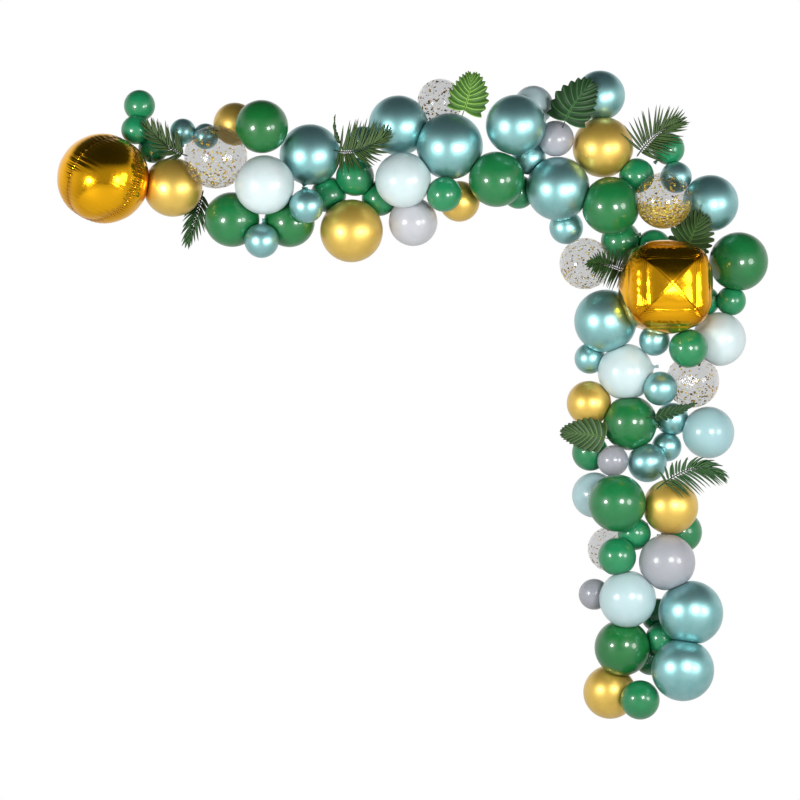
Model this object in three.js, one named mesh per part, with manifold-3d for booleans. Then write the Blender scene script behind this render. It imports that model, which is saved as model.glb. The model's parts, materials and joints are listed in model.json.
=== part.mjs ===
/**
 * Balloon garland that turns the corner of a wall, in millimetres.
 *
 * The wall is the plane y = 0 and the garland stands out from it towards -y, with +x to the right and +z up.
 * The origin is on the wall, at the middle of the flat where the corner's back balloon is stuck to it.
 * Round latex balloons in two size families are bunched along a line that runs across the top and then down
 * the right-hand side, with a foil globe at the left tip and a foil cube at the corner.
 * Balloons of one colour that press on each other are one node, and each other balloon is a node of its own.
 */
import * as THREE from "three";
import { mergeVertices } from "three/addons/utils/BufferGeometryUtils.js";
import Module from "manifold-3d";

const wasm = await Module();
wasm.setup();

// How hard the balloons press on each other: the share of the two radii that is left between their centres.
const PRESS = 0.92;
const JOINED_PRESS = 0.9;
const WALL_PRESS = 0.93;
const STUCK_PRESS = 0.84;
// Clear space between two pieces that touch.
const TOUCH_GAP = 0.4;
// A tied balloon: how far its knot stands past the ball, the share of that at its widest, and its radius.
const NECK_LENGTH = 20;
const KNOT_WIDEST = 0.7;
const KNOT_RADIUS = 7;
// The polar angle, from the crown, up to which a balloon is a true ball.
const BALL_SWEEP = THREE.MathUtils.degToRad(132);
const SHOULDER_ANGLE = THREE.MathUtils.degToRad(157);
const SHOULDER_SWELL = 1.015;
// The facets' corners stand this much proud of the ball, so that the solid has the ball's own volume.
const FACET_SWELL = 1.025;
// Balloons over this diameter are the large family, and get more facets.
const LARGE_DIAMETER = 185;
const LARGE_FACETS = { around: 10, rings: 4 };
const SMALL_FACETS = { around: 8, rings: 3 };
// Foil globe, a little flatter from top to bottom and from front to back than it is wide.
const GLOBE_DIAMETER = 368;
const GLOBE_SQUASH = new THREE.Vector3(1, 0.965, 0.975);
const GLOBE_FACETS = { around: 13, rings: 8 };
// Foil cube: its side, how square its rounded outline is, the low pyramid on each face, and how far its front
// face looks up and to the right.
const CUBE_SIDE = 376;
const CUBE_SQUARENESS = 4;
const CUBE_PYRAMID = 0.07;
const CUBE_LEAN = THREE.MathUtils.degToRad(8);
const CUBE_SWING = THREE.MathUtils.degToRad(5);
const CUBE_FACETS = 5;
// How far the cube's corners may stand from its middle, against half its side.
const CUBE_REACH = 3 ** (1 / 2 - 1 / CUBE_SQUARENESS);
// Settling: how many passes, how strongly each balloon keeps its place, its pull to the wall in each pass,
// and how much of the gap to its nearest neighbour a loose one makes up.
const SETTLE_PASSES = 260;
const HOME_PULL = 0.2;
const WALL_PULL = 0.6;
const CLOSE_UP = 0.25;
// The depth of the line that the necks are tied to, how finely it is followed, and how far back necks lean.
const SPINE_DEPTH = 170;
const SPINE_STEPS = 80;
const NECK_LEAN = 0.4;
// The way a neck points that is tied above its balloon.
const UPWARDS = new THREE.Vector3(0.05, -0.1, 1).normalize();
// The slab of wall that flattens what leans on it, and how near two corners lie that are one.
const WALL_SIDE = 6000;
const WALL_THICKNESS = 400;
const SAME_PLACE = 1e-3;

// The line that the necks are tied to, across the top and down the side.
const SPINE = new THREE.CatmullRomCurve3(
  [
    [-1960, 300],
    [-1560, 260],
    [-1250, 250],
    [-900, 290],
    [-560, 300],
    [-280, 290],
    [0, 180],
    [110, -60],
    [110, -330],
    [120, -620],
    [80, -900],
    [80, -1180],
    [90, -1450],
    [90, -1760],
  ].map(([across, up]) => new THREE.Vector3(across, -SPINE_DEPTH, up)),
);

const FINISHES = {
  green: { color: 0x1f7d40, roughness: 0.22, metalness: 0 },
  teal: { color: 0x5cabb0, roughness: 0.26, metalness: 0.85 },
  gold: { color: 0xc9a13c, roughness: 0.3, metalness: 0.85 },
  mint: { color: 0xcfe9ea, roughness: 0.4, metalness: 0 },
  grey: { color: 0xc6c2c8, roughness: 0.4, metalness: 0 },
  clear: { color: 0xefe6cf, roughness: 0.1, metalness: 0, transparent: true, opacity: 0.45 },
  foil: { color: 0xdc9a16, roughness: 0.12, metalness: 1 },
};

/**
 * Every piece, from the left tip along the top, round the corner and down.
 * Each balloon is [across, up, diameter, layer], where a higher layer lies nearer the front.
 */
const PIECES = [
  { name: "gold_foil_globe", finish: "foil", shape: "globe", balloons: [[-2070, 245, GLOBE_DIAMETER, 3]] },
  {
    name: "green_trio_left_tip",
    finish: "green",
    balloons: [[-1935, 540, 126, 0], [-1945, 450, 116, 2], [-1880, 375, 120, 1]],
  },
  { name: "teal_pair_left_tip", finish: "teal", balloons: [[-1750, 440, 104, 0], [-1680, 425, 104, 1]] },
  { name: "gold_balloon_left_tip", finish: "gold", balloons: [[-1795, 215, 236, 1]] },
  { name: "confetti_balloon_top_left", finish: "clear", balloons: [[-1620, 330, 254, 4]] },
  { name: "gold_balloon_top_1", finish: "gold", stuck: true, balloons: [[-1550, 470, 172, 0]] },
  { name: "green_balloon_top_1", finish: "green", balloons: [[-1440, 450, 212, 2]] },
  { name: "mint_balloon_top_1", finish: "mint", balloons: [[-1425, 215, 236, 5]] },
  { name: "green_balloon_top_2", finish: "green", balloons: [[-1560, 85, 220, 1]] },
  { name: "teal_balloon_top_1", finish: "teal", balloons: [[-1435, 0, 138, 3]] },
  { name: "green_balloon_top_3", finish: "green", balloons: [[-1335, 80, 204, 1]] },
  { name: "teal_balloon_top_2", finish: "teal", balloons: [[-1245, 338, 246, 1]] },
  { name: "teal_balloon_top_3", finish: "teal", balloons: [[-1260, 132, 136, 3]] },
  {
    name: "green_trio_top",
    finish: "green",
    balloons: [[-1175, 190, 144, 0], [-1060, 250, 154, 3], [-980, 175, 144, 1]],
  },
  { name: "gold_balloon_top_2", finish: "gold", balloons: [[-1080, 45, 252, 2]] },
  {
    name: "teal_trio_top",
    finish: "teal",
    balloons: [[-1045, 397, 122, 1], [-880, 468, 240, 2], [-690, 380, 264, 5]],
  },
  { name: "mint_balloon_top_2", finish: "mint", balloons: [[-875, 235, 222, 4]] },
  { name: "grey_balloon_top_1", finish: "grey", balloons: [[-835, 80, 196, 1]] },
  { name: "confetti_balloon_top_middle", finish: "clear", balloons: [[-735, 545, 184, 0]] },
  { name: "green_balloon_top_4", finish: "green", balloons: [[-710, 180, 140, 2]] },
  { name: "gold_balloon_top_3", finish: "gold", balloons: [[-650, 160, 164, 0]] },
  { name: "green_pair_top", finish: "green", balloons: [[-500, 240, 222, 3], [-405, 200, 136, 0]] },
  { name: "mint_balloon_top_3", finish: "mint", balloons: [[-355, 540, 160, 0]] },
  {
    name: "teal_cluster_top_right",
    finish: "teal",
    balloons: [[-425, 460, 240, 5], [-370, 330, 136, 2], [-250, 200, 256, 5], [-220, 60, 136, 2]],
  },
  { name: "grey_balloon_top_2", finish: "grey", balloons: [[-265, 405, 144, 4]] },
  { name: "teal_balloon_top_right", finish: "teal", balloons: [[-85, 594, 200, 1]] },
  { name: "gold_balloon_top_right", finish: "gold", balloons: [[-75, 375, 242, 4]] },
  {
    name: "green_cluster_corner",
    finish: "green",
    stuck: true,
    balloons: [[0, 0, 160, 0], [-45, 130, 232, 1], [65, 265, 140, 2], [120, -25, 140, 2]],
  },
  { name: "green_balloon_corner", finish: "green", balloons: [[190, 380, 130, 1]] },
  { name: "teal_balloon_corner_1", finish: "teal", balloons: [[220, 255, 126, 1]] },
  { name: "confetti_balloon_corner_front", finish: "clear", neckUp: true, balloons: [[150, 155, 228, 5]] },
  { name: "teal_balloon_corner_2", finish: "teal", balloons: [[370, 140, 226, 2]] },
  { name: "confetti_balloon_corner_back", finish: "clear", balloons: [[-150, -95, 208, 0]] },
  {
    name: "green_trio_corner",
    finish: "green",
    balloons: [[470, -80, 236, 2], [434, -246, 120, 2], [345, -240, 120, 0]],
  },
  { name: "gold_foil_cube", finish: "foil", shape: "cube", balloons: [[165, -190, CUBE_SIDE, 6]] },
  { name: "teal_pair_side", finish: "teal", balloons: [[-55, -320, 252, 2], [-115, -490, 124, 2]] },
  { name: "mint_balloon_side_1", finish: "mint", balloons: [[385, -405, 216, 2]] },
  { name: "green_balloon_side_1", finish: "green", balloons: [[260, -435, 154, 5]] },
  { name: "teal_balloon_side_1", finish: "teal", balloons: [[130, -400, 124, 3]] },
  { name: "mint_balloon_side_2", finish: "mint", balloons: [[10, -520, 226, 5]] },
  { name: "confetti_balloon_side_1", finish: "clear", balloons: [[290, -550, 216, 1]] },
  { name: "teal_balloon_side_2", finish: "teal", balloons: [[150, -590, 136, 6]] },
  { name: "gold_balloon_side_1", finish: "gold", balloons: [[-120, -655, 180, 0]] },
  { name: "green_balloon_side_2", finish: "green", balloons: [[30, -725, 220, 5]] },
  {
    name: "teal_trio_side",
    finish: "teal",
    balloons: [[222, -718, 132, 2], [180, -832, 120, 2], [105, -885, 156, 5]],
  },
  { name: "mint_balloon_side_3", finish: "mint", balloons: [[340, -765, 208, 1]] },
  { name: "green_balloon_side_3", finish: "green", balloons: [[-120, -850, 148, 1]] },
  { name: "grey_balloon_side_1", finish: "grey", neckUp: true, balloons: [[-40, -880, 124, 5]] },
  { name: "mint_balloon_side_4", finish: "mint", balloons: [[-105, -1020, 182, 0]] },
  {
    name: "green_trio_side",
    finish: "green",
    balloons: [[-25, -1050, 228, 5], [45, -1163, 132, 1], [-26, -1276, 152, 3]],
  },
  { name: "gold_balloon_side_2", finish: "gold", balloons: [[190, -1065, 220, 2]] },
  { name: "green_balloon_side_4", finish: "green", balloons: [[240, -1165, 168, 0]] },
  { name: "confetti_balloon_side_2", finish: "clear", balloons: [[-40, -1235, 184, 0]] },
  { name: "grey_balloon_side_2", finish: "grey", balloons: [[175, -1285, 224, 4]] },
  { name: "grey_balloon_side_3", finish: "grey", balloons: [[-110, -1415, 124, 0]] },
  { name: "mint_balloon_side_5", finish: "mint", balloons: [[15, -1420, 226, 3]] },
  { name: "teal_pair_foot", finish: "teal", balloons: [[265, -1475, 256, 2], [230, -1713, 248, 2]] },
  {
    name: "green_cluster_foot",
    finish: "green",
    balloons: [[150, -1510, 136, 0], [166, -1597, 138, 4], [130, -1670, 136, 0], [-6, -1640, 224, 4]],
  },
  { name: "gold_balloon_foot", finish: "gold", stuck: true, balloons: [[-45, -1810, 214, 0]] },
  { name: "green_balloon_foot", finish: "green", balloons: [[65, -1830, 156, 5]] },
];

/** One record for each balloon: its piece, its radius, where it is meant to be and its centre. */
function listBalloons() {
  return PIECES.flatMap((piece) =>
    piece.balloons.map(([across, up, diameter, layer], index) => ({
      piece,
      layer,
      radius: diameter / 2,
      stuck: Boolean(piece.stuck) && index === 0,
      home: new THREE.Vector2(across, up),
      centre: new THREE.Vector3(across, 0, up),
    })),
  );
}

/** The share of two radii that is left between the centres of two balloons that touch. */
function pressOf(one, other) {
  return one.piece === other.piece ? JOINED_PRESS : PRESS;
}

/** How far a balloon's centre stands from the wall when the wall alone holds it. */
function wallStandoff(balloon) {
  return balloon.radius * (balloon.stuck ? STUCK_PRESS : WALL_PRESS);
}

/** Lays the balloons on the wall, the lowest layer first, each against the ones behind it. */
function layOnWall(balloons) {
  const laid = [];
  for (const balloon of [...balloons].sort((one, other) => one.layer - other.layer)) {
    let depth = wallStandoff(balloon);
    for (const behind of balloon.stuck ? [] : laid) {
      const reach = (balloon.radius + behind.radius) * pressOf(balloon, behind);
      const apart = balloon.home.distanceTo(behind.home);
      if (apart < reach) {
        depth = Math.max(depth, -behind.centre.y + Math.sqrt(reach ** 2 - apart ** 2));
      }
    }
    balloon.centre.y = -depth;
    laid.push(balloon);
  }
}

/** How far two balloons are from just pressing on each other: below zero they press too hard. */
function gapBetween(one, other) {
  return one.centre.distanceTo(other.centre) - (one.radius + other.radius) * pressOf(one, other);
}

/** Ties each balloon of a joined piece to the nearest of those listed before it. */
function tieJoined(balloons) {
  for (const balloon of balloons) {
    const listedBefore = balloons.slice(0, balloons.indexOf(balloon));
    const earlier = listedBefore.filter((other) => other.piece === balloon.piece);
    const away = (other) => other.home.distanceTo(balloon.home) - other.radius;
    [balloon.tiedTo] = earlier.sort((one, other) => away(one) - away(other));
  }
}

/** How far a balloon has to come forward, or go back if below zero, to touch one that it overlaps. */
function depthGap(balloon, other) {
  const reach = (balloon.radius + other.radius) * pressOf(balloon, other);
  const across = Math.hypot(other.centre.x - balloon.centre.x, other.centre.z - balloon.centre.z);
  const between = Math.sqrt(Math.max(reach ** 2 - across ** 2, 0));
  const depth = balloon.centre.y - other.centre.y;
  return depth > 0 ? depth - between : depth + between;
}

/** Draws a loose balloon towards its nearest neighbour, in depth alone where that is enough. */
function closeUp(balloon, balloons) {
  const others = balloons.filter((other) => other !== balloon);
  if (others.some((other) => gapBetween(balloon, other) <= 0)) {
    return;
  }
  const beside = others.filter(
    (other) => balloon.home.distanceTo(other.home) < (balloon.radius + other.radius) * PRESS,
  );
  if (beside.length > 0) {
    const gaps = beside.map((other) => depthGap(balloon, other));
    const [least] = gaps.sort((one, two) => Math.abs(one) - Math.abs(two));
    balloon.centre.y -= least * CLOSE_UP;
    return;
  }
  const nearest = others.reduce((best, other) =>
    gapBetween(balloon, other) < gapBetween(balloon, best) ? other : best,
  );
  const line = nearest.centre.clone().sub(balloon.centre);
  balloon.centre.addScaledVector(line.normalize(), gapBetween(balloon, nearest) * CLOSE_UP);
}

/** Moves two balloons along the line between them, the smaller one further, until they only press. */
function partPair(one, other) {
  const gap = gapBetween(one, other);
  if (gap >= 0 && other.tiedTo !== one) {
    return;
  }
  const line = other.centre.clone().sub(one.centre);
  const oneWeight = one.stuck ? 0 : 1 / one.radius;
  const otherWeight = other.stuck ? 0 : 1 / other.radius;
  const step = gap / line.length() / (oneWeight + otherWeight);
  one.centre.addScaledVector(line, step * oneWeight);
  other.centre.addScaledVector(line, -step * otherWeight);
}

/** Lets the whole garland settle: each balloon holds its place while its neighbours push and pull it. */
function settle(balloons) {
  for (let pass = 0; pass < SETTLE_PASSES; pass += 1) {
    for (const balloon of balloons) {
      if (!balloon.stuck) {
        balloon.centre.x += (balloon.home.x - balloon.centre.x) * HOME_PULL;
        balloon.centre.z += (balloon.home.y - balloon.centre.z) * HOME_PULL;
        balloon.centre.y += WALL_PULL;
        closeUp(balloon, balloons);
      }
    }
    balloons.forEach((one, index) => {
      for (const other of balloons.slice(index + 1)) {
        partPair(one, other);
      }
    });
    for (const balloon of balloons) {
      balloon.centre.y = Math.min(balloon.centre.y, -wallStandoff(balloon));
    }
  }
}

/** The direction from a balloon's middle to where its neck is tied. */
function neckDirection(balloon) {
  if (balloon.piece.neckUp) {
    return UPWARDS;
  }
  let nearest = SPINE.getPoint(0);
  for (const point of SPINE.getPoints(SPINE_STEPS)) {
    if (point.distanceTo(balloon.centre) < nearest.distanceTo(balloon.centre)) {
      nearest = point;
    }
  }
  const towards = nearest.clone().sub(balloon.centre);
  towards.y += balloon.radius * NECK_LEAN;
  return towards.normalize();
}

/** A tied balloon turned about +y: a ball from its crown to its shoulder, then a short neck and its knot. */
function balloonGeometry(radius) {
  const { around, rings } = radius * 2 > LARGE_DIAMETER ? LARGE_FACETS : SMALL_FACETS;
  const corner = radius * FACET_SWELL;
  const profile = [new THREE.Vector2(0, -corner)];
  for (let ring = 1; ring <= rings; ring += 1) {
    const angle = (BALL_SWEEP * ring) / rings;
    profile.push(new THREE.Vector2(corner * Math.sin(angle), -corner * Math.cos(angle)));
  }
  const shoulder = corner * SHOULDER_SWELL;
  profile.push(new THREE.Vector2(shoulder * Math.sin(SHOULDER_ANGLE), -shoulder * Math.cos(SHOULDER_ANGLE)));
  profile.push(new THREE.Vector2(KNOT_RADIUS, radius + NECK_LENGTH * KNOT_WIDEST));
  profile.push(new THREE.Vector2(0, radius + NECK_LENGTH));
  return new THREE.LatheGeometry(profile, around);
}

/** The foil globe, a ball of gores that is a little squashed. */
function globeGeometry(radius) {
  const geometry = new THREE.SphereGeometry(radius, GLOBE_FACETS.around, GLOBE_FACETS.rings);
  geometry.scale(GLOBE_SQUASH.x, GLOBE_SQUASH.y, GLOBE_SQUASH.z);
  return geometry;
}

/** The foil cube: six faces that swell to rounded edges, each with a low pyramid in its middle. */
function cubeGeometry(half) {
  const geometry = new THREE.BoxGeometry(2, 2, 2, CUBE_FACETS, CUBE_FACETS, CUBE_FACETS);
  const place = geometry.getAttribute("position");
  const point = new THREE.Vector3();
  for (let index = 0; index < place.count; index += 1) {
    point.fromBufferAttribute(place, index);
    const spread = point.toArray().reduce((sum, side) => sum + Math.abs(side) ** CUBE_SQUARENESS, 0);
    const [, middle] = point.toArray().map(Math.abs).sort((one, other) => one - other);
    const swell = 1 + CUBE_PYRAMID * (1 - middle);
    point.multiplyScalar((half * swell) / spread ** (1 / CUBE_SQUARENESS) / (1 + CUBE_PYRAMID));
    place.setXYZ(index, point.x, point.y, point.z);
  }
  return geometry.rotateX(-CUBE_LEAN).rotateZ(CUBE_SWING);
}

const SHAPES = { globe: globeGeometry, cube: cubeGeometry };

/** How far along the line to a neighbour this balloon may reach, so that both stay clear of one plane. */
function reachTowards(balloon, neighbour) {
  const apart = balloon.centre.distanceTo(neighbour.centre);
  if (balloon.piece.shape === "cube") {
    return apart - neighbour.radius * PRESS;
  }
  if (neighbour.piece.shape === "cube") {
    return Math.max(balloon.radius * PRESS, apart - neighbour.radius * CUBE_REACH);
  }
  return (apart ** 2 + balloon.radius ** 2 - neighbour.radius ** 2) / (2 * apart);
}

/** Draws in each point of a balloon that would pass the plane that it shares with a neighbour. */
function pressPoints(geometry, balloon, balloons) {
  const place = geometry.getAttribute("position");
  const point = new THREE.Vector3();
  for (const neighbour of balloons) {
    if (neighbour.piece === balloon.piece) {
      continue;
    }
    const towards = neighbour.centre.clone().sub(balloon.centre).normalize();
    const reach = reachTowards(balloon, neighbour) - TOUCH_GAP / 2;
    for (let index = 0; index < place.count; index += 1) {
      point.fromBufferAttribute(place, index);
      const along = point.dot(towards);
      if (along > reach) {
        point.multiplyScalar(reach / along);
        place.setXYZ(index, point.x, point.y, point.z);
      }
    }
  }
}

/** A solid from a closed geometry, with its shared points merged and its flat slivers left out. */
function toSolid(geometry) {
  const bare = geometry.clone();
  bare.deleteAttribute("normal");
  bare.deleteAttribute("uv");
  const merged = mergeVertices(bare, SAME_PLACE);
  const corners = merged.getIndex().array;
  const kept = [];
  for (let index = 0; index < corners.length; index += 3) {
    const [a, b, c] = corners.slice(index, index + 3);
    if (a !== b && b !== c && c !== a) {
      kept.push(a, b, c);
    }
  }
  const mesh = new wasm.Mesh({
    numProp: 3,
    vertProperties: new Float32Array(merged.getAttribute("position").array),
    triVerts: new Uint32Array(kept),
  });
  return new wasm.Manifold(mesh);
}

/** A geometry from a solid, with flat facets. */
function toGeometry(solid) {
  const mesh = solid.getMesh();
  const geometry = new THREE.BufferGeometry();
  geometry.setAttribute("position", new THREE.BufferAttribute(mesh.vertProperties, 3));
  geometry.setIndex(new THREE.BufferAttribute(mesh.triVerts, 1));
  geometry.computeVertexNormals();
  return geometry;
}

/** The solid of one balloon where it lies, pressed by its neighbours and flat where it meets the wall. */
function balloonSolid(balloon, balloons, wall) {
  const shape = SHAPES[balloon.piece.shape] ?? balloonGeometry;
  const geometry = shape(balloon.radius);
  if (!balloon.piece.shape) {
    const turn = new THREE.Quaternion();
    turn.setFromUnitVectors(new THREE.Vector3(0, 1, 0), neckDirection(balloon));
    geometry.applyQuaternion(turn);
  }
  pressPoints(geometry, balloon, balloons);
  geometry.translate(balloon.centre.x, balloon.centre.y, balloon.centre.z);
  return toSolid(geometry).subtract(wall);
}

/** The wall behind the garland, as the solid that flattens what leans on it. */
function wallSolid() {
  const slab = new THREE.BoxGeometry(WALL_SIDE, WALL_THICKNESS, WALL_SIDE);
  slab.translate(0, WALL_THICKNESS / 2, 0);
  return toSolid(slab);
}

/** The whole garland, one named mesh for each piece. */
function makeGarland() {
  const garland = new THREE.Group();
  const balloons = listBalloons();
  const wall = wallSolid();
  tieJoined(balloons);
  layOnWall(balloons);
  settle(balloons);
  for (const piece of PIECES) {
    const members = balloons.filter((balloon) => balloon.piece === piece);
    const solids = members.map((balloon) => balloonSolid(balloon, balloons, wall));
    const joined = solids.reduce((whole, solid) => whole.add(solid));
    const finish = new THREE.MeshStandardMaterial(FINISHES[piece.finish]);
    const mesh = new THREE.Mesh(toGeometry(joined), finish);
    mesh.name = piece.name;
    garland.add(mesh);
  }
  return garland;
}

export default makeGarland();
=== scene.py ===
"""Looks of a balloon garland that turns the corner of a wall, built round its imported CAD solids.

The wall is the plane y = 0, the garland hangs in front of it towards -y, with +x to the right and +z up.
Each CAD node holds one balloon or a bunch of one colour. The balls are found again from the corners of the
node's own solid, and each node is then shown as one finely modelled piece of tied latex balloons, pressed
flat against its neighbours and the wall. The two foil balloons get welded, puckered seams, the clear
balloons are thin see-through shells with confetti sealed in them, and leaves are tucked in between.
Sizes are in metres unless a name says otherwise.
"""

import json
import logging
import math
from dataclasses import dataclass, field
from enum import Enum
from typing import ClassVar

import bpy
import numpy as np
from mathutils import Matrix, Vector


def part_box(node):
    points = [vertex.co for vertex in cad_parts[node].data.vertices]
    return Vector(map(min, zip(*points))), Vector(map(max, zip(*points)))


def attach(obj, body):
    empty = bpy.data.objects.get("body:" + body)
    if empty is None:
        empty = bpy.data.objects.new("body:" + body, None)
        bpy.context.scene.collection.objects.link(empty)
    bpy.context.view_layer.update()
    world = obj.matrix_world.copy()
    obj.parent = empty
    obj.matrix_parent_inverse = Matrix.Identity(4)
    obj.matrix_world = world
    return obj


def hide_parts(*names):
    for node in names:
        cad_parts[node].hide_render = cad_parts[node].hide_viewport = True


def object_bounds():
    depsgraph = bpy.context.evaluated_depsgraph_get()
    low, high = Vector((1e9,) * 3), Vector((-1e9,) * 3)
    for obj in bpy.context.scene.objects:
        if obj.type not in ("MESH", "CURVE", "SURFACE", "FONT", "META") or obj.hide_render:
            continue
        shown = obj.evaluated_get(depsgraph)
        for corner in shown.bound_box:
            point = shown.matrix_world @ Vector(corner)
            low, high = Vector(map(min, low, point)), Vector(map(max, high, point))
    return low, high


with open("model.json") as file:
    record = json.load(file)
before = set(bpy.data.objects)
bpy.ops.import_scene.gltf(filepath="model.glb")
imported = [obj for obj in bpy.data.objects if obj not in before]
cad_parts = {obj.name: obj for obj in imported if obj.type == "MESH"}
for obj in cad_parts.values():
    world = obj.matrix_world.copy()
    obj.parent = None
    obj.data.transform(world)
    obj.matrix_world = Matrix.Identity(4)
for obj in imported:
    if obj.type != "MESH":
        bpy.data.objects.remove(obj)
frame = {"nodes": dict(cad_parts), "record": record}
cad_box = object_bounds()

log = logging.getLogger("balloon_garland")

MM = 0.001
# The CAD source draws a ball's corners this much proud of the true ball, and its knot this far past it.
FACET_SWELL = 1.025
NECK_LENGTH = 20 * MM
# Clear space between two pieces that touch.
TOUCH_GAP = 0.4 * MM
# A noise's middle range, where nearly all of it lies, as the first limits of a Map Range node.
NOISE_MIDDLE = {1: 0.3, 2: 0.7}
# How much the foil globe is flattened along each axis.
GLOBE_SQUASH = (1.0, 0.965, 0.975)


class Slot(Enum):
    """The record's material slots."""

    GREEN = "green_latex"
    MINT = "mint_latex"
    GREY = "grey_latex"
    TEAL_CHROME = "teal_chrome_latex"
    GOLD_CHROME = "gold_chrome_latex"
    CLEAR = "clear_latex"
    GOLD_FOIL = "gold_foil"
    LEAF = "leaf"


def linear(colour: str) -> tuple[float, float, float, float]:
    """Turns an sRGB hex colour into linear light.

    Args:
        colour: Six hex digits after a hash.

    Returns:
        Linear red, green and blue, and an alpha of one.
    """
    parts = [int(colour[i : i + 2], 16) / 255 for i in (1, 3, 5)]
    light = [c / 12.92 if c <= 0.04045 else ((c + 0.055) / 1.055) ** 2.4 for c in parts]
    return (*light, 1.0)


def add_node(
    tree: bpy.types.NodeTree,
    kind: str,
    settings: dict | None = None,
    inputs: dict | None = None,
) -> bpy.types.Node:
    """Adds one shader node with its settings, values and links.

    Args:
        tree: The node tree that gets the node.
        kind: The node's type name.
        settings: Its properties by name.
        inputs: Its inputs by name or number: a plain value, a node's output, or a node for its first one.

    Returns:
        The new node.
    """
    node = tree.nodes.new(kind)
    for name, value in (settings or {}).items():
        setattr(node, name, value)
    for name, value in (inputs or {}).items():
        if isinstance(value, bpy.types.Node):
            value = value.outputs[0]
        if isinstance(value, bpy.types.NodeSocket):
            tree.links.new(value, node.inputs[name])
        else:
            node.inputs[name].default_value = value
    return node


def smooth_step(value: np.ndarray, start: float, end: float) -> np.ndarray:
    """Rises smoothly from zero, up to the start, to one, from the end on."""
    share = np.clip((value - start) / (end - start), 0, 1)
    return share * share * (3 - 2 * share)


def turn_onto(direction: np.ndarray) -> np.ndarray:
    """Makes the rotation that carries +z onto a direction.

    Args:
        direction: A unit vector.

    Returns:
        A 3 by 3 matrix whose last column is the direction.
    """
    aside = np.array((1.0, 0.0, 0.0)) if abs(direction[0]) < 0.8 else np.array((0.0, 1.0, 0.0))
    across = np.cross(aside, direction)
    across /= np.linalg.norm(across)
    return np.column_stack((np.cross(across, direction), across, direction))


def rotation(axis: int, angle: float) -> np.ndarray:
    """Makes the rotation about one of the frame's axes.

    Args:
        axis: Zero for x, one for y, two for z.
        angle: The angle in radians.

    Returns:
        A 3 by 3 matrix.
    """
    first, second = (axis + 1) % 3, (axis + 2) % 3
    turn = np.eye(3)
    turn[first, first] = turn[second, second] = math.cos(angle)
    turn[second, first], turn[first, second] = math.sin(angle), -math.sin(angle)
    return turn


@dataclass(frozen=True)
class Press:
    """A plane that a balloon lies flat against.

    Attributes:
        towards: Unit vector from the balloon's middle to the plane.
        reach: How far off the plane is.
    """

    towards: np.ndarray
    reach: float


@dataclass
class Ball:
    """One balloon's true ball, as its CAD node holds it.

    Attributes:
        node: The CAD node's name.
        centre: Its middle.
        radius: Its radius.
        neck: Unit vector from the middle to the knot.
        presses: The planes that it lies flat against.
    """

    node: str
    centre: np.ndarray
    radius: float
    neck: np.ndarray
    presses: list[Press] = field(default_factory=list)

    def pressed(self, points: np.ndarray, inset: float = 0.0, softness: float = 0.045) -> np.ndarray:
        """Draws in the points that would pass a plane, with a soft edge round each flat.

        Args:
            points: Points measured from the ball's middle.
            inset: How much nearer than the planes the points stay.
            softness: Width of the soft edge, as a share of the radius.

        Returns:
            The points, drawn in towards the middle.
        """
        soft = self.radius * softness
        for press in self.presses:
            along = points @ press.towards
            reach = press.reach - inset
            rise = np.clip((along - reach + soft) / (2 * soft), 0, 1)
            limit = np.minimum(along - soft * rise * rise, reach)
            scale = np.where(along > reach - soft, limit / np.maximum(along, 1e-6), 1.0)
            points = points * scale[:, None]
        return points


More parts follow.
